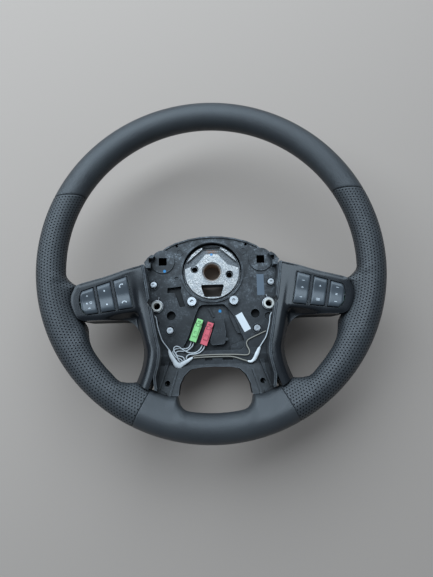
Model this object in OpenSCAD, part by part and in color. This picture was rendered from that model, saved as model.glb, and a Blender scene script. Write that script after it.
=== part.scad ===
// Four-spoke steering wheel of a commercial vehicle, with its airbag module taken out.
// Origin: centre of the shaft bore at the back of the hub disc. +Z runs along the shaft
// towards the driver and +Y is the top of the wheel. All lengths are millimetres.

/* [Rim] */
// Outer diameter over the leather
rim_od = 450; // [440:1:470]
// Width of the rim section, measured along a radius
rim_w = 37; // [35:0.5:39]
// Depth of the rim section, front to back
rim_t = 33; // [30:0.5:34]
// Height of the rim's middle plane above the back of the hub
rim_z = 80; // [76:1:90]
// Thickness of the leather
leather_t = 1.2; // [1:0.1:1.6]
// Diameter of the cast ring inside the rim
core_d = 12; // [10:0.5:14]
// Height of the seams where the smooth top leather ends
top_seam_y = 92; // [80:1:110]
// Angle of the seams at the bottom leather, below the horizontal
bottom_seam_a = 63.2; // [62.5:0.1:64]

/* [Hub] */
// Diameter of the hub disc
disc_d = 81; // [78:1:84]
// Thickness of the hub disc
disc_t = 24; // [22:1:25]
// Diameter of the shaft bore
bore_d = 23; // [20:0.5:25]
// Outer diameter of the boss round the bore
boss_d = 31; // [29:0.5:34]
// Distance between the two puller holes
puller_pitch = 50; // [46:1:54]
// Core diameter of the puller threads
puller_d = 8; // [6:0.5:9]
// Angle of the puller holes' line
puller_a = -10; // [-14:1:0]

/* [Carrier] */
// Wall of the moulded carrier
carrier_t = 4; // [3:0.5:5]
// Wall of the thin covers
cover_t = 2.5; // [2:0.25:3]
// Depth of the connector bay below the carrier's face
bay_depth = 6; // [5:0.5:7]
// Side of the square module windows
window_w = 11.5; // [9:0.5:13]
// Diameter of the collar round each window
collar_d = 33; // [30:1:34]
// Height of the collars and of the ring round the disc
collar_h = 2; // [1:0.25:2.5]
// Bore of the airbag bushes
bush_bore = 9.4; // [8:0.2:10]
// Outer diameter of the airbag bushes
bush_od = 14.4; // [13:0.2:15]

/* [Fasteners] */
// Head diameter of the large carrier bolts
bolt_head_d = 12; // [10:0.5:13]
// Shank diameter of the large carrier bolts
bolt_d = 6; // [5:0.5:7]
// Head diameter of the small screws
screw_head_d = 8.8; // [8:0.2:10]
// Shank diameter of the small screws
screw_d = 4; // [3:0.5:5]

/* [Switches] */
// Width of each rocker
rocker_w = 17.1; // [16:0.1:17.4]
// Width of the ribs between rockers
rib_w = 2.6; // [2.4:0.1:3.2]
// Gap round each rocker
rocker_gap = 1; // [0.6:0.05:1.1]
// Lean of the rockers, top outwards
rocker_lean = 11.5; // [8:0.5:14]
// Travel of a rocker to each side
rocker_travel = 4; // [3:0.5:4.5]
// Diameter of the rocker trunnions
trunnion_d = 3; // [2.6:0.1:3.2]

/* [Hidden] */

rim_ir = rim_od / 2 - rim_w;
ring_r = rim_od / 2 - rim_w / 2;
fit = 0.2;               // gap between pieces that are bonded or clipped together

carrier_top = disc_t + 4;    // face of the carrier beside the disc
carrier_low = carrier_top - carrier_t;
cross_top = carrier_top + 8; // face of the cross bar above the bottom opening
cross_y = -120;
back_z = -12;                // back face of the rear cover
seam_drop = 17;              // depth of the trims' outer walls
disc_seat = disc_d / 2 + 1.4;  // radius of the hole for the disc

function polar(r, a) = [r * cos(a), r * sin(a)];
function dropped(line, d) = [for (p = line) [p[0], p[1] - d]];
function flip(points) = [for (p = points) [-p[0], p[1]]];
function back(points) = [for (i = [len(points) - 1:-1:0]) points[i]];
function both(points) = concat(points, back(flip(points)));

// Outlines of the right half. Points at the rim are [inset from the rim, angle].
function at_rim(list) = [for (p = list) polar(rim_ir - p[0], p[1])];

lip_line = [[92.8, 3.4], [89.6, -20], [85.9, -42], [80.4, -68], [74.9, -95],
    [71.8, -107], [71.4, -117], [73, -129], [76.2, -143]];
lip_end = at_rim([[10, -62.8]]);
strip_edge = [[104.5, -74], [98.9, -79.5], [94.4, -88.5], [90.6, -100], [89.4, -110],
    [89.8, -120], [91.2, -128.5], [93.6, -137]];
strip_end = at_rim([[10, -56.6]]);
pod_end = at_rim([[16, -8.2], [9.5, -10], [5.3, -12.3], [3.2, -15.5], [3.8, -19],
    [6, -22.6]]);
pod_bottom = [[158, -71.5], [120, -69.5], [111, -70]];
pod_top = [[92.8, 3.4], [132, -12.2], [152, -18.6]];
wall_out = 2.4;              // the carrier's side walls stand this far outside the lip
bead_w = 3;                  // double bead of the carrier inside the lip

trim_line = concat(pod_top, pod_end, pod_bottom, strip_edge, strip_end, lip_end,
    back([for (i = [1:len(lip_line) - 1]) lip_line[i]]));

// Where the leather flows from the rim into the side spokes and the lower spokes
side_root = concat(at_rim([[-14, -2.5], [-3, -3.4], [1, -4.8], [5, -6.4], [12, -8]]),
    pod_end, at_rim([[7, -23.6], [4.5, -25], [1.5, -26.2], [-3, -27.5], [-14, -28.6]]));
low_root = concat(at_rim([[-14, -48.5], [-3, -50.4], [1, -52.4], [5, -54.6]]),
    strip_end, lip_end, at_rim([[9.9, -68.7], [10.2, -70.7], [13.6, -74.6], [9.4, -74.9],
    [5, -75.6], [1.8, -77.2], [-1, -79.2], [-4, -80.6], [-14, -82]]));

arch = [[0, 51], [16, 50.2], [33, 47.4], [51, 42.3], [64, 36], [75, 27], [81, 20],
    [84, 12], [94, 12]];
bowl_side = [for (p = lip_line) p + [wall_out, 0]];
bowl_end = at_rim([[10.8, -64.4]]);
opening_edge = concat(at_rim([[10.5, -68], [10.8, -70.7], [14.4, -74.4]]),
    [[45.5, -154], [40.5, -143], [33, -135.5], [22, -133], [0, -132]]);

bush_at = [77.3, -48];
bolt_at = [29, -42.8];
arm_screw = [82, -17.5];     // into the side arms
cover_screw = [59.8, -81.8];     // into the rear cover's posts
screw_at = [arm_screw, cover_screw];
window_at = [69, 15.5];

// Half of a shape and its mirror image
module pair() {
    children();
    mirror([1, 0, 0]) children();
}

module side(s) {
    if (s > 0) children();
    else mirror([1, 0, 0]) children();
}

// A solid whose outline in plan is the first child and whose section, turned about
// the wheel's axis, is the second.
module turned_cut() {
    intersection() {
        translate([0, 0, -50]) linear_extrude(250) children(0);
        rotate_extrude($fn = 180) children(1);
    }
}

// Rim

module rim_section(inset) {
    translate([ring_r, rim_z]) {
        for (s = [-1, 1])
            translate([s * (rim_w - rim_t) / 2, 0]) circle(rim_t / 2 - inset, $fn = 60);
        square([rim_w - rim_t, rim_t - 2 * inset], center = true);
    }
}

module rim_tube(inset) {
    rotate_extrude($fn = 180) rim_section(inset);
}

// Section of the flare between rim and spoke, as deep as the spoke there
module root_section(inset) {
    top = rim_z + rim_t / 2 - inset;
    low = rim_z - rim_t / 2 + inset;
    inner = rim_ir - 30;
    polygon([[ring_r, top - 0.2], [ring_r - 8, top - 1.4], [ring_r - 14, top - 4.6],
        [rim_ir, top - 8], [rim_ir - 8, top - 10.4], [inner, top - 14.5],
        [inner, low - 23.5], [rim_ir - 12, low - 21], [rim_ir - 4, low - 15.5],
        [rim_ir + 2, low - 8], [ring_r - 8.5, low + 0.8], [ring_r, low + 0.2]]);
}

module root(line, inset) {
    turned_cut() {
        offset(delta = -inset) polygon(line);
        root_section(inset);
    }
}

module roots(inset) {
    pair() {
        root(side_root, inset);
        root(low_root, inset);
    }
}

// The four leather pieces meet at two level seams near the top and two radial ones
module sector_line(s) {
    a = bottom_seam_a;
    far = rim_od;
    if (s == "top") translate([-far, top_seam_y]) square([2 * far, far]);
    if (s == "bottom") polygon([[0, 0], polar(far, -a), [0, -far], polar(far, a - 180)]);
    if (s == "right") polygon([[0, 0], polar(far, -a), [far, -far], [far, top_seam_y],
        [0, top_seam_y]]);
    if (s == "left") polygon([[0, 0], polar(far, a - 180), [-far, -far],
        [-far, top_seam_y], [0, top_seam_y]]);
}

module leather(s) {
    color([0.13, 0.14, 0.16]) intersection() {
        difference() {
            union() {
                rim_tube(0);
                if (s != "top") roots(0);
            }
            rim_tube(leather_t);
            if (s != "top") roots(leather_t);
            if (s != "top") arms(0.4);
        }
        translate([0, 0, -50]) linear_extrude(250) offset(delta = -fit / 4)
            sector_line(s);
    }
}

module leather_top() { leather("top"); }
module leather_left() { leather("left"); }
module leather_right() { leather("right"); }
module leather_bottom() { leather("bottom"); }

module rim_foam() {
    color([0.2, 0.2, 0.21]) difference() {
        union() {
            rim_tube(leather_t + fit);
            roots(leather_t + 1.75 * fit);
        }
        rotate_extrude($fn = 180) translate([ring_r, rim_z])
            circle(core_d / 2 + fit / 2, $fn = 48);
        arms(fit / 2);
    }
}

// Armature: hub disc, four arms and the ring inside the rim, cast in one

arm_w = 20;
arm_t = 9;
side_arm = [[28, 8], [96, 10], [126, 38], [168, 56], [rim_ir - 2, rim_z - 18],
    [ring_r - 2, rim_z]];
low_arm = [[30, 7], [104, 8], [140, 19], [rim_ir - 12, rim_z - 32],
    [ring_r - 1, rim_z - 1]];
side_arm_a = -13.5;
low_arm_a = -69.5;

// A bar along a line in the plane of radius and height
module bar(line, w, t) {
    up = [for (p = line) [p[0], p[1] + t / 2]];
    down = [for (p = line) [p[0], p[1] - t / 2]];
    rotate([90, 0, 0]) translate([0, 0, -w / 2]) linear_extrude(w)
        polygon(concat(up, back(down)));
}

module arm(line, grow) {
    difference() {
        bar(line, arm_w + 2 * grow, arm_t + 2 * grow);
        if (grow == 0) translate([0, 0, 4])
            bar([line[0] + [14, 0], line[1], line[2], line[3]], arm_w - 7, arm_t);
    }
}

module arms(grow) {
    pair() {
        rotate(side_arm_a) arm(side_arm, grow);
        rotate(low_arm_a) arm(low_arm, grow);
    }
}

module armature() {
    color([0.72, 0.73, 0.74]) difference() {
        union() {
            cylinder(h = disc_t - groove_deep, d = disc_d, $fn = 120);
            cylinder(h = disc_t + boss_up, d = boss_d, $fn = 96);
            raised_faces();
            arms(0);
            pair() {
                translate([bolt_at[0], bolt_at[1], 2])
                    cylinder(h = carrier_low - fit - 2, d = 14.4, $fn = 48);
                rotate(atan2(bolt_at[1], bolt_at[0])) translate([30, -7, 2])
                    cube([20, 14, 12]);
                translate([arm_screw[0], arm_screw[1], 7])
                    cylinder(h = carrier_low - fit - 7, d = 11, $fn = 48);
            }
            rotate_extrude($fn = 180) translate([ring_r, rim_z])
                circle(core_d / 2, $fn = 48);
        }
        translate([0, 0, -1]) cylinder(h = disc_t + 2, d = bore_d, $fn = 96);
        translate([0, 0, disc_t - 2])
            cylinder(h = boss_up + 2.1, d1 = bore_d, d2 = boss_d - 2, $fn = 96);
        rotate(puller_a) for (s = [-1, 1]) translate([s * puller_pitch / 2, 0, 0]) {
            translate([0, 0, -1]) cylinder(h = disc_t + 2, d = puller_d, $fn = 48);
            translate([0, 0, disc_t - 3.6])
                cylinder(h = 5, d = puller_d + 3.6, $fn = 48);
        }
        cable_hole();
        top_slot();
        pair() {
            translate([bolt_at[0], bolt_at[1], 8]) cylinder(h = 40, d = bolt_d, $fn = 48);
            translate([arm_screw[0], arm_screw[1], 10])
                cylinder(h = 40, d = screw_d, $fn = 32);
        }
    }
}

groove_deep = 4.5;
boss_up = 0.8;

// Machined faces of the disc. The cast grooves and the slot between them stay lower.
module raised_faces() {
    intersection() {
        cylinder(h = disc_t, d = disc_d - 5, $fn = 120);
        union() {
            pair() linear_extrude(disc_t) polygon([[12.4, 40], [13.4, 33.5], [35.5, 14.4],
                [42, 15], [30, 40]]);
            pair() linear_extrude(disc_t) polygon([[0, 10], [15, 12.4], [22.5, 10.6],
                [36.5, 5.6], [42, 4], [42, -42], [0, -42]]);
            pair() linear_extrude(disc_t - 1.5) polygon([[0, 26.4], [8.6, 26], [22.5, 10.6],
                [15, 12.4], [0, 10]]);
        }
    }
}

module cable_hole() {
    translate([0, 0, -1]) linear_extrude(disc_t + 2) offset(r = 2.5, $fn = 32)
        polygon([[-13.7, -20.6], [13.7, -20.6], [9.5, -33.4], [-9.5, -33.4]]);
}

module top_slot() {
    translate([-12, 31.5, disc_t - 8]) cube([24, 6, 12]);
    pair() translate([21.5, 28.6, disc_t - 1]) cylinder(h = 3, d = 3.4, $fn = 24);
}

// Carrier: the black moulding between the trims

module plan_carrier() {
    polygon(both(concat(arch, bowl_side, bowl_end, opening_edge)));
}

// Side profile in Y and Z: flat behind the airbag, then rising to the rim
floor_line = [[60, carrier_top], [cross_y + 12, carrier_top], [cross_y + 3.5, cross_top],
    [cross_y - 9, cross_top], [-rim_ir + 19, rim_z - 15]];

module floor_slab(drop, depth) {
    top = dropped(floor_line, drop);
    low = dropped(floor_line, drop + depth);
    rotate([90, 0, 90]) translate([0, 0, -120]) linear_extrude(240)
        polygon(concat(top, back(low)));
}

module under_trims() {
    rotate_extrude($fn = 180) polygon(concat([[0, 0], [rim_ir, 0]],
        back(dropped(front_line, seam_drop + fit)), [[0, front_line[0][1] - seam_drop]]));
}

module hub_carrier() {
    color([0.1, 0.1, 0.11]) difference() {
        union() {
            intersection() {
                translate([0, 0, -20]) linear_extrude(120) plan_carrier();
                floor_slab(0, carrier_t);
            }
            bowl_walls();
            arch_lip();
            bay_tray();
            deep_cups();
            carrier_raised();
        }
        translate([0, 0, -1]) cylinder(h = 60, r = disc_seat, $fn = 120);
        bay_hollow();
        carrier_holes();
    }
}

module bowl_walls() {
    intersection() {
        translate([0, 0, carrier_low]) linear_extrude(rim_z) difference() {
            intersection() {
                plan_carrier();
                pair() translate([62, -200]) square([60, 204]);
            }
            offset(delta = -cover_t) plan_carrier();
        }
        under_trims();
        floor_above();
    }
    bowl_bead();
    channel_banks();
}

// Ledge and double bead along the bowl's rim, just inside the trims' lips
module bowl_bead() {
    inset = wall_out + fit;
    turned_cut() {
        bead_plan(0, inset + bead_w);
        band_section(seam_drop + fit, seam_drop + 3);
    }
    turned_cut() {
        bead_plan(inset, inset + bead_w);
        band_section(2.4, seam_drop + 2);
    }
    turned_cut() {
        bead_plan(inset, inset + 1.2);
        band_section(-0.2, 3);
    }
    turned_cut() {
        bead_plan(inset + bead_w - 1.2, inset + bead_w);
        band_section(0.4, 3);
    }
}

module bead_plan(from, to) {
    intersection() {
        difference() {
            offset(delta = -from) plan_carrier();
            offset(delta = -to) plan_carrier();
        }
        pair() polygon([[62, 3], [62, -120], [64, -136], [69.5, -151], [73, -165],
            [110, -165], [110, 3]]);
    }
}

// Banks beside the sunk floor of the lower spokes' channels
module channel_banks() {
    intersection() {
        pair() translate([0, 0, 20]) linear_extrude(70) {
            polygon([[60.4, -124], [66, -124], [66.5, -140], [74, -166], [72.4, -166],
                [70.6, -159]]);
            polygon([[30, -134], [40, -131], [49.6, -137], [57, -164], [57.5, -170],
                [44, -172], [44, -150]]);
        }
        floor_slab(-3.4, 5);
        translate([0, 0, -20]) linear_extrude(120) plan_carrier();
    }
    pair() intersection() {
        translate([0, 0, 20]) linear_extrude(70) polygon([[48.4, -136], [50.2, -136],
            [57.6, -164], [58, -168], [56, -168], [55.6, -164]]);
        floor_slab(-5.4, 8);
        translate([0, 0, -20]) linear_extrude(120) plan_carrier();
    }
}

module floor_above() {
    floor_slab(-60, 60 + carrier_t);
}

// Low lip along the arch, and its skirt towards the rear cover
module arch_lip() {
    intersection() {
        translate([0, 0, carrier_low]) linear_extrude(carrier_t + 2) difference() {
            plan_carrier();
            offset(delta = -2) plan_carrier();
        }
        translate([-83, 10, 0]) cube([166, 60, 60]);
    }
}

bay_line = [[-16, -47], [15, -47], [21, -53], [28.5, -63], [38.5, -88.7], [42, -98],
    [41.5, -106], [37, -110.5], [-36, -110.5], [-42, -104], [-35.3, -91.5], [-26, -64],
    [-20.5, -51]];

module bay_tray() {
    intersection() {
        translate([0, 0, carrier_top - bay_depth - 3]) linear_extrude(30)
            offset(delta = 2.5) polygon(bay_line);
        floor_slab(0, 60);
    }
}

module bay_hollow() {
    floor_z = carrier_top - bay_depth;
    difference() {
        translate([0, 0, floor_z]) linear_extrude(60) polygon(bay_line);
        // Steps left standing on the bay's floor
        translate([0, 0, floor_z - 1]) linear_extrude(4.4)
            polygon([[22, -54], [28.5, -63], [38.5, -88.7], [32.6, -87], [23.4, -66]]);
        translate([0, 0, floor_z - 1]) linear_extrude(5.2) polygon([[22.6, -104.4],
            [42, -97.6], [42, -106], [37, -112], [23.4, -112]]);
        translate([0, 0, floor_z - 1]) linear_extrude(3)
            polygon([[-7, -52], [-4.6, -52], [1.4, -64], [-1, -64]]);
    }
}

// Cups under the deep round recesses, and the box under the keyhole-shaped one
module deep_cups() {
    pair() translate([cup_at[0], cup_at[1], carrier_top - cup_deep - 2])
        cylinder(h = cup_deep, d = cup_d + 4, $fn = 64);
    translate([0, 0, carrier_top - keyhole_deep - 2]) linear_extrude(keyhole_deep)
        offset(delta = 2) polygon(keyhole);
}

cup_at = [58.2, -61.2];
cup_d = 12.6;
cup_deep = 9;
keyhole_deep = 6.5;

module carrier_raised() {
    // Ring round the disc
    difference() {
        cylinder(h = carrier_top + collar_h, r = disc_seat + 2.5, $fn = 120);
        translate([0, 0, -1]) cylinder(h = carrier_low + 1, r = disc_seat + 9, $fn = 120);
    }
    pair() {
        // Collars round the module windows
        translate([window_at[0], window_at[1], carrier_low]) difference() {
            cylinder(h = carrier_t + collar_h, d = collar_d, $fn = 96);
            translate([-30, -30, -1]) cube([60, 60, carrier_t + 1]);
            translate([15.5, -30, -1]) cube([60, 60, 60]);
        }
        // Cast ring marks
        translate([45, 29, carrier_low]) difference() {
            cylinder(h = carrier_t + 0.8, d = 10, $fn = 48);
            cylinder(h = 20, d = 7.6, $fn = 48);
        }
        // Latch blocks in the top corners, each with a notch
        translate([0, 0, carrier_low]) difference() {
            linear_extrude(19) polygon([[79, 21.4], [84.5, 14], [84.5, 4.5], [90.5, 4.5],
                [93.5, 11.6], [88, 19], [83, 22.6]]);
            translate([78, 11, 9]) cube([9, 7, 20]);
        }
        // Bosses under the bushes, the bolts and the screws
        translate([bush_at[0], bush_at[1], carrier_low - 8])
            cylinder(h = 8 + carrier_t + 1, d = bush_od + 4.2, $fn = 64);
        translate([bolt_at[0], bolt_at[1], carrier_low])
            cylinder(h = carrier_t + 1, d = bolt_head_d + 4.4, $fn = 64);
        for (p = screw_at) translate([p[0], p[1], carrier_low])
            cylinder(h = carrier_t + 1, d = screw_head_d + 5.4, $fn = 64);
    }
}

keyhole = [[-43, -20], [-63, -22], [-63.5, -29], [-53, -30], [-46, -50], [-38, -49],
    [-44, -27]];

module carrier_holes() {
    pair() {
        translate([window_at[0], window_at[1], 0])
            cube([window_w, window_w, 90], center = true);
        translate([49, 38, -1]) cylinder(h = 60, d = 4, $fn = 32);
        translate([cup_at[0], cup_at[1], carrier_top - cup_deep])
            cylinder(h = 30, d = cup_d, $fn = 64);
        translate([bush_at[0], bush_at[1], -1]) cylinder(h = 60, d = bush_od - 3, $fn = 64);
        translate([bush_at[0], bush_at[1], carrier_low - 4])
            cylinder(h = 60, d = bush_od + fit, $fn = 64);
        translate([bolt_at[0], bolt_at[1], -1]) cylinder(h = 60, d = bolt_d + 0.5, $fn = 48);
        // Clear of the bolt heads and of the wire springs round the bushes
        translate([bolt_at[0], bolt_at[1], carrier_top + 1])
            cylinder(h = 20, d = bolt_head_d + 1, $fn = 48);
        translate([bush_at[0], bush_at[1], carrier_top + 1])
            cylinder(h = 3, d = bush_od + 4.4, $fn = 64);
        for (p = screw_at) translate([p[0], p[1], -1])
            cylinder(h = 60, d = screw_d + 0.4, $fn = 48);
        // Grooves round the heads
        for (p = screw_at) translate([p[0], p[1], carrier_top - 1.2])
            head_groove(screw_head_d + 0.4, screw_head_d + 3.2);
        translate([bolt_at[0], bolt_at[1], carrier_top - 0.6])
            head_groove(bolt_head_d + 0.4, bolt_head_d + 2.6);
        translate([61.6, -152, 0]) cylinder(h = 90, d = 7.6, $fn = 48);
        lead_hole();
    }
    translate([-50, -9, carrier_top - 1.6]) cylinder(h = 10, d = 6, $fn = 48);
    translate([0, 0, carrier_top - keyhole_deep]) linear_extrude(20)
        offset(r = 1, $fn = 24) offset(delta = -1) polygon(keyhole);
    // Round pocket beside the wall where the right-hand lead goes through
    translate([76.4, -65.4, carrier_top - 2.6]) cylinder(h = 26, d = 11, $fn = 48);
    translate([-76.6, -71, carrier_top - 2.4]) cylinder(h = 10, d = 6, $fn = 48);
    // Slots in the cross bar
    for (p = [[-13, 10.5], [10.5, 14.5]])
        translate([p[0], cross_y - 4.2, cross_top - 2.8]) cube([p[1], 3.2, 10]);
}

// Round way for the lead through the bowl's wall and the rear half behind it
module lead_hole() {
    translate([79, -60.2, 31.2]) rotate([0, 90, 0]) cylinder(h = 12, d = 6, $fn = 32);
}

module head_groove(d1, d2) {
    difference() {
        cylinder(h = 8, d = d2, $fn = 64);
        translate([0, 0, -1]) cylinder(h = 10, d = d1, $fn = 64);
    }
}

// Rear cover: the closed shell round the steering column

rear_line = [[60, back_z], [-82, back_z], [-128, 6], [-rim_ir + 16, rim_z - 36]];

module rear_slab(lift) {
    low = dropped(rear_line, -lift);
    rotate([90, 0, 90]) translate([0, 0, -120]) linear_extrude(240)
        polygon(concat(low, [[-rim_ir + 16, 200], [60, 200]]));
}

module rear_cover() {
    color([0.07, 0.07, 0.075]) difference() {
        intersection() {
            translate([0, 0, back_z]) linear_extrude(90) plan_carrier();
            rear_slab(0);
            floor_slab(carrier_t + fit, 120);
        }
        difference() {
            intersection() {
                translate([0, 0, back_z - 1]) linear_extrude(120)
                    offset(delta = -cover_t) plan_carrier();
                rear_slab(cover_t);
            }
            pair() translate([cover_screw[0], cover_screw[1], back_z])
                cylinder(h = 80, d = screw_head_d + 2, $fn = 48);
        }
        translate([0, 0, back_z - 1]) cylinder(h = 20, r = 32, $fn = 96);
        pair() rotate(side_arm_a) bar(side_arm, arm_w + 2, arm_t + 2);
        pair() translate([cover_screw[0], cover_screw[1], carrier_low - 14])
            cylinder(h = 40, d = screw_d, $fn = 32);
        pair() rotate(low_arm_a) bar(low_arm, arm_w + 1, arm_t + 1);
        pair() translate([bush_at[0], bush_at[1], carrier_low - 9])
            cylinder(h = 40, d = bush_od + 7, $fn = 64);
        translate([0, 0, carrier_low - bay_depth - 1]) linear_extrude(60)
            offset(delta = 3) polygon(bay_line);
    }
}

// Trims: the satin covers over the side spokes and down the lower ones

front_line = [[60, rim_z - 16], [80, rim_z - 14], [92, rim_z - 11.5],
    [112, rim_z - 4.5], [142, rim_z + 0.6], [172, rim_z + 4.6], [rim_ir, rim_z + 6]];

module band_section(from, to) {
    polygon(concat(dropped(front_line, from), back(dropped(front_line, to))));
}

module trim(s) {
    side(s) color([0.12, 0.13, 0.15]) difference() {
        turned_cut() {
            offset(r = 1.5, $fn = 32) offset(delta = -1.5 - fit) polygon(trim_line);
            band_section(0, seam_drop);
        }
        turned_cut() {
            offset(delta = -cover_t - fit) polygon(trim_line);
            band_section(cover_t, seam_drop + 10);
        }
        switch_window();
    }
}

module trim_left() { trim(-1); }
module trim_right() { trim(1); }

// Rear halves of the side spokes
back_line = [[60, 2], [96, 3], [132, 25], [rim_ir - 26, rim_z - 38],
    [rim_ir, rim_z - 28]];

module spoke_back(s) {
    side(s) color([0.08, 0.08, 0.09]) difference() {
        turned_cut() {
            offset(delta = -fit) polygon(trim_line);
            spoke_back_section(0, seam_drop + fit);
        }
        turned_cut() {
            offset(delta = -cover_t - fit) polygon(trim_line);
            spoke_back_section(cover_t, 0);
        }
        arms(0.5);
        translate([0, 0, -20]) linear_extrude(120) offset(delta = fit) plan_carrier();
        lead_hole();
    }
}

module spoke_back_section(lift, drop) {
    polygon(concat(dropped(back_line, -lift), back(dropped(front_line, drop))));
}

module spoke_back_left() { spoke_back(-1); }
module spoke_back_right() { spoke_back(1); }

// Switches: three rockers a side in a ribbed housing over a keypad and a board.
// In the pod's own frame X runs outwards, Y along the rockers and Z out of the face.

pod_at = [135.8, -42.2, rim_z + 0.3];
pod_tilt = 8;
top_slope = 7.8;
low_slope = 3;
top_mid = 18.6;
low_mid = -18.6;
cell = rocker_w + rib_w + 2 * rocker_gap;
pivot_z = -3.5;
mat_z = -9.5;
flange = 3.2;
board_t = 1.6;
// The domes end just below a fully tipped rocker's walls
dome_h = -5 - mat_z - 0.5 - 11 * sin(rocker_travel) - 0.3;

module pod() {
    translate(pod_at) rotate([0, -pod_tilt, 0]) rotate(-rocker_lean) children();
}

function top_y(x) = top_mid - x * tan(top_slope);
function low_y(x) = low_mid + x * tan(low_slope);

// Outline between two positions across the pod, grown by a margin
module field(x0, x1, margin) {
    polygon([[x0 - margin, low_y(x0) - margin], [x1 + margin, low_y(x1) - margin],
        [x1 + margin, top_y(x1) + margin], [x0 - margin, top_y(x0) + margin]]);
}

field_x = cell * 1.5 - rib_w / 2;
end_at = [cell + rocker_w / 2 - 22, (top_y(cell) + low_y(cell)) / 2];

// What lies inside the round outer end of the pod, grown by a margin
module round_end(margin) {
    intersection() {
        children();
        union() {
            translate(end_at) circle(24 + margin, $fn = 120);
            translate([-80, -40]) square([80 + end_at[0], 80]);
        }
    }
}

module rounded_field(x0, x1, margin, r) {
    offset(r = r, $fn = 40) offset(delta = -r) round_end(margin + rocker_gap)
        field(x0, x1, margin);
}

module switch_window() {
    pod() translate([0, 0, -20]) linear_extrude(40)
        rounded_field(-field_x, field_x, 1.8, 4);
}

module housing(s) {
    side(s) color([0.09, 0.09, 0.1]) pod() difference() {
        union() {
            translate([0, 0, mat_z]) linear_extrude(-mat_z + 0.6)
                rounded_field(-field_x, field_x, 1.6, 4);
            translate([0, 0, mat_z]) linear_extrude(4.5)
                rounded_field(-field_x, field_x, flange, 6.5);
        }
        for (i = [-1:1]) translate([0, 0, mat_z - 1]) linear_extrude(40)
            round_end(rocker_gap) field(i * cell - cell / 2 + rib_w / 2,
                i * cell + cell / 2 - rib_w / 2, 0);
        // Room for the mat's edge below the ribs
        translate([0, 0, mat_z - 1]) linear_extrude(2.2)
            round_end(rocker_gap) field(-field_x, field_x, 0);
        // Trunnion bearings through ribs and side walls
        translate([-field_x - 1.3, 0, pivot_z]) rotate([0, 90, 0])
            cylinder(h = 2 * field_x + 2.6, d = trunnion_d + 0.1, $fn = 32);
        for (p = board_posts) translate([p[0], p[1], mat_z - 1])
            cylinder(h = 4, d = 1.6, $fn = 24);
    }
}

board_posts = [[-field_x - flange / 2, 4], [field_x + flange / 2, 2]];

module housing_left() { housing(-1); }
module housing_right() { housing(1); }

// Rocker i counts outwards, from 1 beside the hub
module rocker(s, i) {
    x = (i - 2) * cell;
    w = rocker_w / 2;
    side(s) color([0.14, 0.15, 0.17]) pod() difference() {
        union() {
            difference() {
                translate([0, 0, -5]) linear_extrude(7.2) rocker_plan(i, x, w);
                // Saddle: a shallow hollow along the face
                translate([x - 30, 0, 32.6]) rotate([0, 90, 0])
                    cylinder(h = 60, r = 32, $fn = 180);
                // Underside is open between the two walls
                translate([x - w + 1.6, -11, -6]) cube([rocker_w - 3.2, 22, 5]);
            }
            translate([x - w - rocker_gap - 1.2, 0, pivot_z]) rotate([0, 90, 0])
                cylinder(h = 1.4 + rocker_gap + 1.6, d = trunnion_d, $fn = 32);
            translate([x + w - 1.8, 0, pivot_z]) rotate([0, 90, 0])
                cylinder(h = 1.4 + rocker_gap + 1.6 - 0.4, d = trunnion_d, $fn = 32);
        }
    }
}

module rocker_plan(i, x, w) {
    if (i == 3) round_end(0) field_inside(x, w);
    else field_inside(x, w);
}

module field_inside(x, w) {
    polygon([[x - w, low_y(x - w) + rocker_gap], [x + w, low_y(x + w) + rocker_gap],
        [x + w, top_y(x + w) - rocker_gap], [x - w, top_y(x - w) - rocker_gap]]);
}

module rocker_left_1() { rocker(-1, 1); }
module rocker_left_2() { rocker(-1, 2); }
module rocker_left_3() { rocker(-1, 3); }
module rocker_right_1() { rocker(1, 1); }
module rocker_right_2() { rocker(1, 2); }
module rocker_right_3() { rocker(1, 3); }

module keypad(s) {
    side(s) color([0.75, 0.76, 0.74]) pod() union() {
        translate([0, 0, mat_z]) linear_extrude(1) round_end(rocker_gap - 0.3)
            field(-field_x, field_x, -0.3);
        for (i = [-1:1]) for (j = [-1, 1]) translate([i * cell, j * 11, mat_z + 0.5])
            cylinder(h = dome_h, d1 = 8, d2 = 5, $fn = 32);
    }
}

module keypad_left() { keypad(-1); }
module keypad_right() { keypad(1); }

module board(s) {
    side(s) color([0.1, 0.35, 0.2]) pod() difference() {
        translate([0, 0, mat_z - board_t]) linear_extrude(board_t)
            rounded_field(-field_x, field_x, flange, 6.5);
        for (p = board_posts) translate([p[0], p[1], mat_z - 3])
            cylinder(h = 6, d = 2, $fn = 24);
    }
}

module circuit_board_left() { board(-1); }
module circuit_board_right() { board(1); }

module board_screws() {
    color([0.7, 0.7, 0.72]) pair() pod() for (p = board_posts)
        translate([p[0], p[1], mat_z - board_t]) {
            translate([0, 0, -1.2]) cylinder(h = 1.2, d = 3.2, $fn = 32);
            translate([0, 0, -0.1]) cylinder(h = 4, d = 1.6, $fn = 24);
        }
}

// Fasteners and the airbag module's seats

module carrier_bolts() {
    color([0.75, 0.75, 0.77]) pair()
        translate([bolt_at[0], bolt_at[1], carrier_top + 1]) {
            difference() {
                cylinder(h = 5, d = bolt_head_d, $fn = 64);
                translate([0, 0, 2]) cylinder(h = 4, d = 5.5, $fn = 6);
            }
            translate([0, 0, -17]) cylinder(h = 17.5, d = bolt_d - 0.1, $fn = 48);
        }
}

module carrier_screws() {
    color([0.75, 0.75, 0.77]) pair() for (p = screw_at)
        translate([p[0], p[1], carrier_top + 1]) {
            difference() {
                union() {
                    cylinder(h = 1.6, d = screw_head_d, $fn = 64);
                    cylinder(h = 3.2, d = screw_head_d - 2, $fn = 64);
                }
                translate([0, 0, 1.4]) cylinder(h = 4, d = 3.6, $fn = 6);
            }
            translate([0, 0, -13]) cylinder(h = 13.5, d = screw_d - 0.1, $fn = 48);
        }
}

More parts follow.
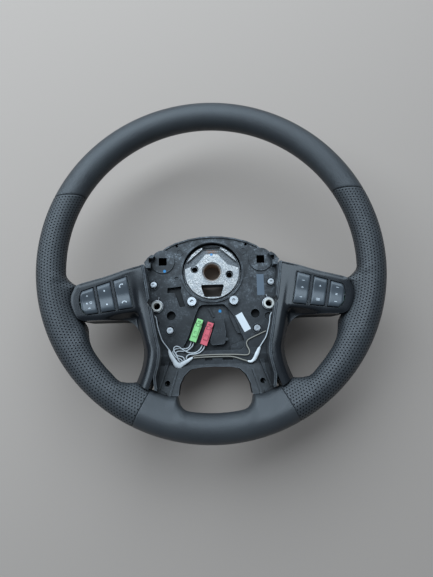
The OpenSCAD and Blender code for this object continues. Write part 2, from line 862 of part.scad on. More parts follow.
module airbag_bushes() {
    color([0.8, 0.78, 0.72]) pair() translate([bush_at[0], bush_at[1], 0]) difference() {
        translate([0, 0, carrier_low - 4]) cylinder(h = carrier_t + 9, d = bush_od, $fn = 72);
        translate([0, 0, carrier_low - 5]) cylinder(h = 40, d = bush_bore, $fn = 72);
    }
}

// Wire springs that snap behind the module's pins
module bush_springs() {
    z = carrier_top + 1.8;
    color([0.8, 0.8, 0.8]) pair() translate([bush_at[0], bush_at[1], z]) {
        rotate_extrude($fn = 72) translate([bush_od / 2 + 0.9, 0]) circle(0.7, $fn = 24);
        rotate([-90, 0, 12]) translate([0, 0, bush_od / 2 + 0.9])
            cylinder(h = 5, r = 0.7, $fn = 24);
    }
}

// Block of the horn contact in the connector bay
module contact_block() {
    floor_z = carrier_top - bay_depth;
    color([0.08, 0.08, 0.085]) difference() {
        union() {
            translate([0, 0, floor_z]) linear_extrude(bay_depth + 3)
                offset(r = 1.5, $fn = 24) offset(delta = -1.5)
                polygon([[0.5, -67], [13.5, -66.7], [16.6, -86], [15.5, -99.5],
                    [13, -102.5], [-2, -103.6], [-4.6, -100.6], [-4.6, -96], [1.6, -77],
                    [2, -72]]);
            translate([17.4, -96, floor_z]) cylinder(h = bay_depth + 5, d = 4, $fn = 32);
        }
        for (i = [-1:1]) for (j = [-1:1]) translate([6 + 3 * i, -84 + 3 * j, carrier_top])
            cylinder(h = 10, d = 1.4, $fn = 16);
    }
}

// Airbag plugs, parked loose in the bay
module plug_body(shade) {
    color(shade) difference() {
        union() {
            translate([-4.7, -17, 0]) cube([9.4, 24, 8.4]);
            translate([-4.2, 6, 1]) cube([8.4, 9, 6.6]);
            translate([-3, -10, 7]) cube([6, 20, 2.6]);
        }
        translate([-2, -6, 9]) cube([4, 3, 4]);
        translate([-3, 12.6, 2.4]) cube([6, 9, 3.8]);
    }
}

green_at = [-23.2, -81.5, carrier_top - bay_depth + 0.3];
green_turn = -21;
red_at = [-8.8, -86.5, carrier_top - bay_depth + 0.3];
red_turn = -20;

module connector_green() {
    translate(green_at) rotate(green_turn) plug_body([0.55, 0.9, 0.5]);
}

module connector_red() {
    translate(red_at) rotate(red_turn) plug_body([0.92, 0.4, 0.47]);
}

// Labels on the carrier
module data_label() {
    color([0.85, 0.85, 0.86]) translate([41, -73, carrier_top + 0.05]) rotate(-63)
        translate([-13, -5, 0]) cube([26, 10, 0.3]);
}

module date_label() {
    color([0.4, 0.42, 0.43]) translate([62.4, -36, carrier_top + 0.05])
        cube([10, 30, 0.3]);
}

// Wires and their taped sleeves. Each route is a list of points chosen by hand.

function unit(v) = v / norm(v);
function tangent(p, i) = unit(p[min(i + 1, len(p) - 1)] - p[max(i - 1, 0)]);
function ring(p, i, r, n) = let (
        t = tangent(p, i),
        u = unit(cross(abs(t[2]) > 0.9 ? [1, 0, 0] : [0, 0, 1], t)),
        v = cross(t, u))
    [for (k = [0:n - 1]) p[i] + r * (cos(360 * k / n) * u + sin(360 * k / n) * v)];

// Points along a smooth curve through the chosen ones
function smooth(p, n) = concat([for (i = [0:len(p) - 2]) for (k = [0:n - 1]) let (
        t = k / n, a = p[max(i - 1, 0)], b = p[i], c = p[i + 1],
        d = p[min(i + 2, len(p) - 1)])
    0.5 * (2 * b + (c - a) * t + (2 * a - 5 * b + 4 * c - d) * t * t
        + (3 * b - a - 3 * c + d) * t * t * t)], [p[len(p) - 1]]);

module wire(route, d, steps, n = 8) {
    p = smooth(route, steps);
    m = len(p);
    rings = [for (i = [0:m - 1]) each ring(p, i, d / 2, n)];
    sides = [for (i = [0:m - 2]) for (k = [0:n - 1])
        [i * n + k, i * n + (k + 1) % n, (i + 1) * n + (k + 1) % n, (i + 1) * n + k]];
    ends = [[for (k = [n - 1:-1:0]) k], [for (k = [0:n - 1]) (m - 1) * n + k]];
    polyhedron(rings, concat(sides, ends));
}

wire_d = 1.6;
sleeve_d = 5;

green_route_1 = [[-31, -97.5, 26.4], [-31.9, -100, 26.6], [-33, -103, 27.6],
    [-35, -105.8, 29.2], [-38.5, -107.2, 29.8], [-43, -107.4, 29.8],
    [-48, -106.8, 29.6], [-52, -107, 29.8], [-55.2, -109.2, 31], [-56, -112, 33.4],
    [-54, -115.2, 36.2], [-51.6, -118.2, 37.6], [-48.6, -120, 38],
    [-45, -121.4, 38.8], [-43, -124.2, 39.4]];
green_route_2 = [[-27.7, -98.8, 26.4], [-28.6, -101.2, 26.8], [-30, -104, 28.2],
    [-32.6, -107, 30.4], [-36.4, -109.6, 32], [-41, -110.8, 32.6],
    [-45.6, -110.4, 32.2], [-49.2, -110.6, 32.4], [-51.6, -112, 33.4],
    [-51.6, -114.2, 35.4], [-49.8, -116.2, 37.2], [-47, -117.2, 37.8],
    [-43.4, -118, 38.4], [-41, -119.8, 39], [-40.3, -122.7, 39.4]];
red_route_1 = [[-16.3, -102.4, 26.4], [-17.2, -105, 27.4], [-19.4, -108.6, 30.6],
    [-23, -111.8, 33.6], [-28, -113.4, 35], [-33.5, -113, 35.4], [-39, -110.6, 35.2],
    [-44, -107.4, 33], [-48.4, -104.2, 31.4], [-52.6, -103.8, 31.4],
    [-54.8, -106.4, 32.6], [-53.8, -110.6, 35.4], [-51.6, -114, 38],
    [-49.8, -117.6, 39.6], [-48.6, -121.4, 40.2], [-45.6, -125.6, 39.6]];
red_route_2 = [[-12.9, -103.6, 26.4], [-13.8, -106.2, 27.8], [-15.6, -109.4, 31.4],
    [-18.6, -112.4, 35], [-22.6, -114.2, 37], [-27, -115, 37.7], [-31, -115.2, 38],
    [-34.5, -115.8, 38.4], [-37, -117.8, 39], [-37.7, -121.1, 39.5]];

// Taped sleeves and the leads that the carrier holds all the way
sleeve_left_route = [[-61.6, -108, 31.8], [-60, -112, 35.6], [-57.4, -117.4, 39.3],
    [-53.5, -124, 39.3], [-50.5, -128.2, 39.7], [-47, -129.3, 39.9], [-43, -127.4, 39.6],
    [-36, -123.6, 39.2], [-29, -119.5, 39]];
sleeve_right_route = [[44, -126.4, 39], [49, -127, 39], [53.5, -123.5, 39.1],
    [57, -117, 39], [60.2, -111, 34.8], [61.8, -108, 31.9]];
lead_up = [[65.6, -102.4, 29.5], [71, -94.5, 29.2], [74.5, -84.5, 29.2], [77.3, -74, 29.2],
    [78.3, -66.4, 29.5], [80.2, -61.8, 30.6], [83.6, -60, 31.3], [88, -58.8, 33.4],
    [96, -57.5, 42],
    [105, -56, 53], [112, -52, 63]];
bottom_route = [[-27.7, -120.2, 38.8], [-22, -119.8, 38], [-12, -119.4, 37.3],
    [0, -119.2, 37.2], [12, -119.2, 37.2], [22, -119.6, 37.2], [30, -121.4, 37.4],
    [37, -124, 38.2], [43.4, -126.2, 38.9]];
branch_route = [[-29.2, -118.3, 38.9], [-24, -117.3, 38], [-16, -116.8, 37.4],
    [-4, -116.6, 37.3], [10, -116.6, 37.3], [24, -117, 37.4], [34, -117.6, 37.4],
    [41, -118.2, 37.4], [45.6, -117.4, 37.4], [47.4, -113.8, 35.2], [46.6, -109.4, 31.2],
    [44.9, -105.6, 29.5], [44.4, -101.4, 29.2], [46.6, -97.6, 29.2], [53, -94.2, 29.2],
    [60, -91.2, 29.2], [66.4, -88.4, 29.2], [71.6, -86.2, 29.2]];

module pale() { color([0.85, 0.85, 0.83]) children(); }

module wire_green_1() { pale() wire(green_route_1, wire_d, 2); }
module wire_green_2() { pale() wire(green_route_2, wire_d, 2); }
module wire_red_1() { pale() wire(red_route_1, wire_d, 2); }
module wire_red_2() { pale() wire(red_route_2, wire_d, 2); }
module sleeve_left() { pale() wire(sleeve_left_route, sleeve_d, 2); }
module sleeve_right() { pale() wire(sleeve_right_route, sleeve_d - 0.6, 2); }

module harness_left() {
    pale() mirror([1, 0, 0]) wire(concat([[61.8, -107.3, 30.9]], lead_up), wire_d, 2);
}

module harness_right() {
    pale() wire(concat([[62.2, -107.2, 31.1]], lead_up), wire_d, 2);
}

module harness_bottom() {
    color([0.72, 0.66, 0.55]) wire(bottom_route, wire_d, 2);
}

module harness_branch() {
    color([0.72, 0.66, 0.55]) wire(branch_route, wire_d, 2);
}

armature();
rim_foam();
leather_top();
leather_left();
leather_right();
leather_bottom();
hub_carrier();
rear_cover();
trim_left();
trim_right();
spoke_back_left();
spoke_back_right();
housing_left();
housing_right();
keypad_left();
keypad_right();
circuit_board_left();
circuit_board_right();
rocker_left_1();
rocker_left_2();
rocker_left_3();
rocker_right_1();
rocker_right_2();
rocker_right_3();
carrier_bolts();
carrier_screws();
board_screws();
airbag_bushes();
bush_springs();
contact_block();
connector_green();
connector_red();
wire_green_1();
wire_green_2();
wire_red_1();
wire_red_2();
sleeve_left();
sleeve_right();
harness_left();
harness_right();
harness_bottom();
harness_branch();
data_label();
date_label();
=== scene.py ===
# %% [markdown]
# A steering wheel lies on a pale table with its airbag module taken out, so the
# middle is open: a cast hub, a black carrier, two parked plugs and their wires.
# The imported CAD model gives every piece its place, in metres, and this script
# dresses it. The camera and the wires come first, then finishes, then the leather.

# %% Load the frame
import math

import bmesh
import bpy
import numpy as np
from mathutils import Matrix, Vector


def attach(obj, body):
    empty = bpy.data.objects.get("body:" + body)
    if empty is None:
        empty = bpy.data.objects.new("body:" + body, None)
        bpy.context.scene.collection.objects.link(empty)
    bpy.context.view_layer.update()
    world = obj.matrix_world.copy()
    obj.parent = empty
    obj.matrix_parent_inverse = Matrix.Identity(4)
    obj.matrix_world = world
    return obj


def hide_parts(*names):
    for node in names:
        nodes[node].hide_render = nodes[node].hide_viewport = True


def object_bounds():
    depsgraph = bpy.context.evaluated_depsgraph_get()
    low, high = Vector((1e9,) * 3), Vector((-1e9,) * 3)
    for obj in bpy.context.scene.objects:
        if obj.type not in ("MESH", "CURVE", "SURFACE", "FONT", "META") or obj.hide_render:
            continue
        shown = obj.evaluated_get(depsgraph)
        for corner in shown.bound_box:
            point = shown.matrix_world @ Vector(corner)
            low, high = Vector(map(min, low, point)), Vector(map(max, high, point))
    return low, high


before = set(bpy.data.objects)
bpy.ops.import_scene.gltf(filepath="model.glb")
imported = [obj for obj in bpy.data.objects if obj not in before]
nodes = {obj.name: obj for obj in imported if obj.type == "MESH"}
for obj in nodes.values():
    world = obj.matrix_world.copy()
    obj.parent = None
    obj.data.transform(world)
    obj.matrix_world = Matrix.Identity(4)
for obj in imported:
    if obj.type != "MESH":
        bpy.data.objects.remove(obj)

MM = 0.001
cad_box = [list(corner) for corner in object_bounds()]

# %% [markdown]
# The camera stands where the photographer stood: a little below the wheel's centre,
# half a metre in front of it. Its place was worked out from the rim's outline.

# %% Camera
LENS_PX, IMAGE_HEIGHT, SENSOR = 433, 577, 36
EYE, FACE_Z = Vector((3.09, -135.40, 543.73)), 0.080
ROLL, YAW, PITCH = math.radians(-1.8), -0.0056, 0.1839
camera_data = bpy.data.cameras.new("camera")
camera_data.sensor_width = SENSOR
camera_data.lens = LENS_PX / IMAGE_HEIGHT * SENSOR
camera_data.clip_start = 0.01
camera = bpy.data.objects.new("camera", camera_data)
bpy.context.scene.collection.objects.link(camera)
bpy.context.scene.camera = camera
spin = Matrix.Rotation(ROLL, 4, "Z")
tilt = Matrix.Rotation(YAW, 4, "Y") @ Matrix.Rotation(PITCH, 4, "X")
place = Matrix.Translation(EYE * MM)
camera.matrix_world = Matrix.Translation((0, 0, FACE_Z)) @ spin @ place @ tilt
print("camera at", [round(c, 4) for c in camera.matrix_world.translation])

# %% [markdown]
# The plugs that fed the airbag hang on short pairs of white wire. A wire is a curve
# with a round section. Its points repeat the CAD route, so it keeps the real length.

# %% Wire helpers
def smooth_route(points, steps):
    """Points along a smooth curve through the given ones."""
    p = [Vector(q) for q in points]
    out = []
    for i in range(len(p) - 1):
        a, b, c = p[max(i - 1, 0)], p[i], p[i + 1]
        d = p[min(i + 2, len(p) - 1)]
        for k in range(steps):
            t = k / steps
            out.append(0.5 * (2 * b + (c - a) * t + (2 * a - 5 * b + 4 * c - d) * t ** 2
                              + (3 * b - a - 3 * c + d) * t ** 3))
    return out + [p[-1]]


def wire_curve(name, route, diameter, steps=6):
    """A round wire along a route in millimetres."""
    points = [q * MM for q in smooth_route(route, steps)]
    curve = bpy.data.curves.new(name, "CURVE")
    curve.dimensions = "3D"
    curve.bevel_depth = diameter * MM / 2
    curve.bevel_resolution = 3
    curve.use_fill_caps = True
    spline = curve.splines.new("POLY")
    spline.points.add(len(points) - 1)
    for point, place in zip(spline.points, points):
        point.co = (*place, 1)
    wire = bpy.data.objects.new(name, curve)
    bpy.context.scene.collection.objects.link(wire)
    length = sum((b - a).length for a, b in zip(points, points[1:]))
    return wire, points, length


# %% Free wires
WIRE_D = 1.6
wire_routes = {
    "wire_green_1": [[-31, -97.5, 26.4], [-31.9, -100, 26.6], [-33, -103, 27.6],
        [-35, -105.8, 29.2], [-38.5, -107.2, 29.8], [-43, -107.4, 29.8],
        [-48, -106.8, 29.6], [-52, -107, 29.8], [-55.2, -109.2, 31], [-56, -112, 33.4],
        [-54, -115.2, 36.2], [-51.6, -118.2, 37.6], [-48.6, -120, 38],
        [-45, -121.4, 38.8], [-43, -124.2, 39.4]],
    "wire_green_2": [[-27.7, -98.8, 26.4], [-28.6, -101.2, 26.8], [-30, -104, 28.2],
        [-32.6, -107, 30.4], [-36.4, -109.6, 32], [-41, -110.8, 32.6],
        [-45.6, -110.4, 32.2], [-49.2, -110.6, 32.4], [-51.6, -112, 33.4],
        [-51.6, -114.2, 35.4], [-49.8, -116.2, 37.2], [-47, -117.2, 37.8],
        [-43.4, -118, 38.4], [-41, -119.8, 39], [-40.3, -122.7, 39.4]],
    "wire_red_1": [[-16.3, -102.4, 26.4], [-17.2, -105, 27.4], [-19.4, -108.6, 30.6],
        [-23, -111.8, 33.6], [-28, -113.4, 35], [-33.5, -113, 35.4], [-39, -110.6, 35.2],
        [-44, -107.4, 33], [-48.4, -104.2, 31.4], [-52.6, -103.8, 31.4],
        [-54.8, -106.4, 32.6], [-53.8, -110.6, 35.4], [-51.6, -114, 38],
        [-49.8, -117.6, 39.6], [-48.6, -121.4, 40.2], [-45.6, -125.6, 39.6]],
    "wire_red_2": [[-12.9, -103.6, 26.4], [-13.8, -106.2, 27.8], [-15.6, -109.4, 31.4],
        [-18.6, -112.4, 35], [-22.6, -114.2, 37], [-27, -115, 37.7], [-31, -115.2, 38],
        [-34.5, -115.8, 38.4], [-37, -117.8, 39], [-37.7, -121.1, 39.5]],
}
wires = {}
for name, route in wire_routes.items():
    wire, points, length = wire_curve(name + "_cord", route, WIRE_D)
    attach(wire, "wheel")
    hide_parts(name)
    wires[name] = wire
    print(name, "length", round(length * 1000, 1), "mm")

# %% [markdown]
# A finish is a small node tree. Its colour varies a little and its bump carries the
# grain, both from noise on Object coordinates, so nothing slides when a part moves.

# %% Finish helpers
def finish(name, colour, rough, metallic=0.0, specular=0.5):
    """A material with its Principled shader, and the parts needed to build on."""
    mat = bpy.data.materials.new(name)
    mat.use_nodes = True
    tree = mat.node_tree
    shader = tree.nodes["Principled BSDF"]
    shader.inputs["Base Color"].default_value = (*colour, 1)
    shader.inputs["Roughness"].default_value = rough
    shader.inputs["Metallic"].default_value = metallic
    shader.inputs["Specular IOR Level"].default_value = specular
    return mat, tree, shader


def add(tree, kind, **settings):
    node = tree.nodes.new(kind)
    for key, value in settings.items():
        setattr(node, key, value)
    return node


def place_of(tree):
    return add(tree, "ShaderNodeTexCoord").outputs["Object"]


def noise(tree, where, scale, detail=3.0, rough=0.55):
    node = add(tree, "ShaderNodeTexNoise")
    node.inputs["Scale"].default_value = scale
    node.inputs["Detail"].default_value = detail
    node.inputs["Roughness"].default_value = rough
    tree.links.new(where, node.inputs["Vector"])
    return node.outputs["Fac"]


def cells(tree, where, scale):
    node = add(tree, "ShaderNodeTexVoronoi", feature="DISTANCE_TO_EDGE")
    node.inputs["Scale"].default_value = scale
    tree.links.new(where, node.inputs["Vector"])
    return node.outputs["Distance"]


def maths(tree, kind, a, b=None, c=None):
    node = add(tree, "ShaderNodeMath", operation=kind)
    for socket, value in zip(node.inputs, (a, b, c)):
        if value is None:
            continue
        if isinstance(value, (int, float)):
            socket.default_value = value
        else:
            tree.links.new(value, socket)
    return node.outputs["Value"]


def times(tree, a, b):
    return maths(tree, "MULTIPLY", a, b)


def length_of(tree, dx, dy):
    return maths(tree, "SQRT", maths(tree, "ADD", times(tree, dx, dx), times(tree, dy, dy)))


def axes_of(tree, vector):
    split = add(tree, "ShaderNodeSeparateXYZ")
    tree.links.new(vector, split.inputs["Vector"])
    return split.outputs


def spread(tree, value, low, high, to_low=0, to_high=1):
    """Maps a value's range to another one, smoothly."""
    node = add(tree, "ShaderNodeMapRange", interpolation_type="SMOOTHSTEP")
    tree.links.new(value, node.inputs["Value"])
    for key, number in (("From Min", low), ("From Max", high),
                        ("To Min", to_low), ("To Max", to_high)):
        node.inputs[key].default_value = number
    return node.outputs["Result"]


def blend_colours(tree, factor, first, second):
    node = add(tree, "ShaderNodeMix", data_type="RGBA")
    tree.links.new(factor, node.inputs["Factor"])
    for socket, value in ((node.inputs[6], first), (node.inputs[7], second)):
        if isinstance(value, tuple):
            socket.default_value = (*value, 1)
        else:
            tree.links.new(value, socket)
    return node.outputs[2]


def bump(tree, shader, height, strength, depth):
    node = add(tree, "ShaderNodeBump")
    node.inputs["Strength"].default_value = strength
    node.inputs["Distance"].default_value = depth
    tree.links.new(height, node.inputs["Height"])
    tree.links.new(node.outputs["Normal"], shader.inputs["Normal"])


def dress(piece, material):
    piece.data.materials.clear()
    piece.data.materials.append(material)


# %% [markdown]
# The leather is dyed almost black with a cool cast, and its satin top coat shows
# soft highlights. Both sides are perforated: rows of fine holes about 4 mm apart.
# The holes follow the rim, so their pattern is counted along it and around it.

# %% Leather finish
LEATHER = (0.016, 0.017, 0.019)
RING_R, RIM_Z = 206.5, 80.0


def leather_finish(name, perforated):
    mat, tree, shader = finish(name, LEATHER, 0.40, specular=0.55)
    where = place_of(tree)
    grain = cells(tree, where, 950)
    fine = noise(tree, where, 2600, 2)
    pores = spread(tree, grain, 0.0, 0.25)
    height = maths(tree, "MULTIPLY_ADD", fine, 0.5, pores)
    patch = noise(tree, where, 14, 3)
    colour = blend_colours(tree, spread(tree, patch, 0.3, 0.7),
                           (0.026, 0.028, 0.031), (0.034, 0.037, 0.040))
    sheen = spread(tree, patch, 0.3, 0.7, 0.37, 0.44)
    if perforated:
        rows = add(tree, "ShaderNodeUVMap", uv_map="holes")
        around, row = axes_of(tree, rows.outputs["UV"])[:2]
        odd = times(tree, maths(tree, "PINGPONG", maths(tree, "FLOOR", row), 1.0), 0.5)
        along = maths(tree, "ADD", around, odd)
        du = maths(tree, "SUBTRACT", maths(tree, "FRACT", along), 0.5)
        dv = times(tree, maths(tree, "SUBTRACT", maths(tree, "FRACT", row), 0.5), 0.87)
        far = length_of(tree, du, dv)
        hole = spread(tree, far, 0.15, 0.25)
        colour = blend_colours(tree, hole, (0.0008, 0.0008, 0.001), colour)
        height = maths(tree, "MULTIPLY_ADD", hole, 3.0, height)
        sheen = maths(tree, "ADD", sheen, spread(tree, far, 0.15, 0.25, 0.45, 0.0))
        gloss = spread(tree, far, 0.13, 0.25, 0.0, 0.55)
        tree.links.new(gloss, shader.inputs["Specular IOR Level"])
    tree.links.new(colour, shader.inputs["Base Color"])
    tree.links.new(sheen, shader.inputs["Roughness"])
    bump(tree, shader, height, 0.35, 0.0004)
    return mat


smooth_leather = leather_finish("leather_smooth", False)
perforated_leather = leather_finish("leather_perforated", True)

# %% [markdown]
# The rim is a ring of oval section that swells inwards where the spokes join it. A
# bmesh spin sweeps the section round the wheel. The swelling is then a smooth push
# of the inner half, as far in as the spoke's own outline asks for at each angle.

# %% Rim shape
HALF_W, HALF_T = 18.5, 16.5
# Angle below the horizontal and how far in the leather reaches there
SIDE_REACH = [(3.9, 0), (5, 1.5), (6, 4), (7, 7.7), (8, 12), (8.7, 13.4), (9.2, 12.8),
    (10, 9.5), (11, 7.7), (12, 5.9), (13, 4.9), (14, 4.3), (15, 3.6), (16, 3.3),
    (17, 3.5), (19, 3.9), (20, 4.5), (21, 5.1), (22, 5.7), (23.3, 6.5), (24, 6.7),
    (25, 7.0), (26, 6.9), (28, 6.0), (30, 5.4), (32, 4.6), (34, 3.7), (36, 2.8),
    (38, 2.3), (42, 1.6), (46, 1.1), (50.5, 0)]
LOW_REACH = [(51.4, 0), (53, 2.1), (54, 4), (55, 6), (56, 8.6), (57, 10.1), (58, 10.4),
    (63.4, 10.3), (70, 10.3), (71, 10.7), (72, 11.5), (73, 12.5), (74, 13.2),
    (74.5, 11.6), (75, 8.8), (76, 4.4), (77, 2.3), (78, 0.8), (79.4, 0)]
SIDE_DEEP = [(2.5, 0), (7.5, 1), (24.2, 1), (34, 0)]
LOW_DEEP = [(49, 0), (56.5, 1), (74.4, 1), (80.5, 0)]
# How far the flare's front drops and its back sinks, in millimetres
FRONT_DROP, BACK_SINK = 10.2, 20.5


def ease(t):
    t = min(max(t, 0.0), 1.0)
    return t * t * (3 - 2 * t)


def read_line(line, at):
    """Monotone smooth reading of a line of pairs."""
    if at <= line[0][0] or at >= line[-1][0]:
        return 0.0
    for (a, u), (b, v) in zip(line, line[1:]):
        if at <= b:
            return u + (v - u) * ease((at - a) / (b - a)) if v * u == 0 else \
                u + (v - u) * (at - a) / (b - a)
    return 0.0


def rim_point(angle, turn):
    """Point of the leather at an angle round the wheel and a turn round its section."""
    below = -math.degrees(math.asin(math.sin(angle)))
    inset = read_line(SIDE_REACH, below) + read_line(LOW_REACH, below)
    deep = read_line(SIDE_DEEP, below) + read_line(LOW_DEEP, below)
    c, s = math.cos(turn), math.sin(turn)
    if c >= 0:
        reach = 1 / math.hypot(c / HALF_W, s / HALF_T)
        r, z = RING_R + reach * c, reach * s
    else:
        n = 2 + 2.4 * deep
        reach = 1 / ((abs(c) / (HALF_W + inset)) ** n + (abs(s) / HALF_T) ** n) ** (1 / n)
        d, z = reach * abs(c), reach * s
        r = RING_R - d
        drop = FRONT_DROP * ease(d / 27) + 0.18 * max(d - 27, 0)
        sink = BACK_SINK * ease((d - 7) / 26)
        z += -drop * deep if s > 0 else -sink * deep
        if s > 0 and z < -HALF_T:
            z = -HALF_T
    return Vector((r * math.cos(angle), r * math.sin(angle), RIM_Z + z)) * MM


def as_object(name, source):
    """Turns a bmesh into an object."""
    mesh = bpy.data.meshes.new(name)
    source.to_mesh(mesh)
    source.free()
    piece = bpy.data.objects.new(name, mesh)
    bpy.context.scene.collection.objects.link(piece)
    return piece


def new_piece(name, source, body="wheel"):
    """Turns a bmesh into an object that rides on a body."""
    piece = as_object(name, source)
    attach(piece, body)
    return piece


def at_home(piece, mirrored):
    """Takes a piece made for the right-hand side over to the left if asked."""
    if mirrored:
        piece.data.transform(Matrix.Scale(-1, 4, (1, 0, 0)))
        piece.data.flip_normals()


def outward(source):
    bmesh.ops.recalc_face_normals(source, faces=source.faces)


def to_metres(source):
    bmesh.ops.scale(source, vec=(MM, MM, MM), verts=source.verts)


def only_verts(geometry):
    return [g for g in geometry if isinstance(g, bmesh.types.BMVert)]


def extruded(source):
    """Extrudes every face and returns the new vertices."""
    return only_verts(bmesh.ops.extrude_face_region(source, geom=source.faces[:])["geom"])


def smooth_shade(piece, angle):
    """Smooth shading with edges kept sharp above an angle."""
    mesh = piece.data
    mesh.shade_smooth()
    source = bmesh.new()
    source.from_mesh(mesh)
    limit = math.radians(angle)
    for edge in source.edges:
        if len(edge.link_faces) == 2 and edge.calc_face_angle(0) > limit:
            edge.smooth = False
    source.to_mesh(mesh)
    source.free()


# %% Rim leather
TURNS = 56         # steps round the section
TOP_SEAM, LOW_SEAM = 92.0, 63.2
SECTION_TURNS = np.linspace(0, math.pi, 41)
HOLES_ROUND, HOLE_ROW = 324, 3.8


def section_length(angle):
    """Length along the section from its outermost point, over the top and underneath."""
    both = []
    for side in (1, -1):
        line = np.array([rim_point(angle, side * turn) for turn in SECTION_TURNS]) / MM
        steps_long = np.linalg.norm(np.diff(line, axis=0), axis=1)
        both.append(np.concatenate([[0], np.cumsum(steps_long)]))
    return both


def rim_skin(first, last, steps):
    """The rim's skin between two angles in degrees, spun and then pushed to shape."""
    source = bmesh.new()
    ring = [source.verts.new((RING_R + HALF_W * math.cos(2 * math.pi * k / TURNS), 0,
                              HALF_T * math.sin(2 * math.pi * k / TURNS)))
            for k in range(TURNS)]
    edges = [source.edges.new((ring[k], ring[(k + 1) % TURNS])) for k in range(TURNS)]
    bmesh.ops.rotate(source, verts=source.verts, cent=(0, 0, 0),
                     matrix=Matrix.Rotation(math.radians(first), 3, "Z"))
    bmesh.ops.spin(source, geom=ring + edges, cent=(0, 0, 0), axis=(0, 0, 1),
                   angle=math.radians(last - first), steps=steps, use_merge=False)
    turns, angles = {}, {}
    for v in source.verts:
        x, y, z = v.co
        turn = math.atan2(z, math.hypot(x, y) - RING_R)
        angle = math.atan2(y, x)
        turns[v], angles[v] = turn, angle
        v.co = rim_point(angle, turn)
    holes = source.loops.layers.uv.new("holes")
    lengths = {}
    for face in source.faces:
        for loop in face.loops:
            angle, turn = angles[loop.vert], turns[loop.vert]
            if abs(abs(turn) - math.pi) < 1e-6:
                turn = math.copysign(math.pi, face.calc_center_median().z / MM - RIM_Z + 3)
            key = round(angle, 6)
            if key not in lengths:
                lengths[key] = section_length(angle)
            row = np.interp(abs(turn), SECTION_TURNS, lengths[key][turn < 0])
            if angle > math.pi - 0.01 and angles[face.verts[0]] < 0:
                angle -= 2 * math.pi
            if angle < -math.pi + 0.01 and angles[face.verts[0]] > 0:
                angle += 2 * math.pi
            loop[holes].uv = (angle * HOLES_ROUND / (2 * math.pi),
                              math.copysign(row, turn) / HOLE_ROW)
    return source


def tube_centre(place):
    radius = math.hypot(place.x, place.y)
    k = RING_R * MM / radius
    return Vector((place.x * k, place.y * k, RIM_Z * MM))


def tuck_ends(source, depth=1.1):
    """Rounds each open end over and closes it with a ring of leather."""
    ends = [e for e in source.edges if e.is_boundary]
    last = set(v for e in ends for v in e.verts)
    near = {v: 0.45 for v in last}
    for v in list(last):
        for e in v.link_edges:
            o = e.other_vert(v)
            if o not in last:
                near[o] = 0.12
    for v, share in near.items():
        inward = (tube_centre(v.co) - v.co).normalized()
        v.co += inward * depth * MM * share
    made = bmesh.ops.extrude_edge_only(source, edges=ends)["geom"]
    for v in only_verts(made):
        v.co += (tube_centre(v.co) - v.co).normalized() * 2.2 * MM
    outward(source)


def seam_cut(source, place, normal):
    bmesh.ops.bisect_plane(source, geom=source.verts[:] + source.edges[:] + source.faces[:],
                           dist=1e-7, plane_co=place, plane_no=normal, clear_outer=True)


SEAM_GAP = 0.25 * MM
seam_a = math.degrees(math.asin(TOP_SEAM / (RING_R + HALF_W + 0.1)))
rims = {}
top = rim_skin(seam_a - 8, 188 - seam_a, 330)
seam_cut(top, (0, TOP_SEAM * MM + SEAM_GAP, 0), (0, -1, 0))
rims["leather_top"] = top
right = rim_skin(-LOW_SEAM + 0.035, seam_a + 8, 560)
seam_cut(right, (0, TOP_SEAM * MM - SEAM_GAP, 0), (0, 1, 0))
rims["leather_right"] = right
left = rim_skin(172 - seam_a, 180 + LOW_SEAM - 0.035, 560)
seam_cut(left, (0, TOP_SEAM * MM - SEAM_GAP, 0), (0, 1, 0))
rims["leather_left"] = left
rims["leather_bottom"] = rim_skin(-180 + LOW_SEAM + 0.035, -LOW_SEAM - 0.035, 260)
for name, source in rims.items():
    tuck_ends(source)
    side_piece = name in ("leather_left", "leather_right")
    piece = new_piece(name + "_skin", source)
    piece.data.shade_smooth()
    dress(piece, perforated_leather if side_piece else smooth_leather)
    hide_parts(name)
    print(name, "faces", len(piece.data.polygons))

# %% [markdown]
# Under the leather lies a ring of moulded foam. Nothing of it shows, so it is one
# plain spin of the rim's section, a little smaller than the leather.

# %% Foam core
core = bmesh.new()
ring = [core.verts.new((RING_R + (HALF_W - 1.6) * math.cos(2 * math.pi * k / 32), 0,
                        RIM_Z + (HALF_T - 1.6) * math.sin(2 * math.pi * k / 32)))
        for k in range(32)]
loop = [core.edges.new((ring[k], ring[(k + 1) % 32])) for k in range(32)]
bmesh.ops.spin(core, geom=ring + loop, cent=(0, 0, 0), axis=(0, 0, 1),
               angle=2 * math.pi, steps=240, use_merge=True)
to_metres(core)
outward(core)
foam = new_piece("rim_foam_core", core)
foam.data.shade_smooth()
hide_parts("rim_foam")
print("foam core faces", len(foam.data.polygons))

# %% [markdown]
# The trims are satin mouldings, one on each side. Their face is a height field: a
# fine grid is lifted to the surface's height at each place, given a thickness, and
# cut to the moulding's outline with a boolean. The band beside the hub stays high,
# and the surface falls away round it towards the finger openings.

# %% Outline helpers
def polar(r, a):
    return (r * math.cos(math.radians(a)), r * math.sin(math.radians(a)))


def flowing(points, steps=6):
    """A smooth plan line through points in millimetres."""
    return [(q.x, q.y) for q in smooth_route([(x, y, 0) for x, y in points], steps)]


def away(points, line):
    """Distance of every point to a plan line, as an array."""
    best = np.full(len(points), 1e9)
    for a, b in zip(line, line[1:]):
        a, b = np.array(a), np.array(b)
        t = np.clip(((points - a) @ (b - a)) / ((b - a) @ (b - a)), 0, 1)
        best = np.minimum(best, np.hypot(*(points - a - t[:, None] * (b - a)).T))
    return best


def soft(t):
    t = np.clip(t, 0, 1)
    return t * t * (3 - 2 * t)


def arc(q, radius):
    """How far a round edge of that radius has dropped at a distance q past its start."""
    q = np.clip(q, 0, radius * 0.985)
    return radius - np.sqrt(radius ** 2 - q ** 2)


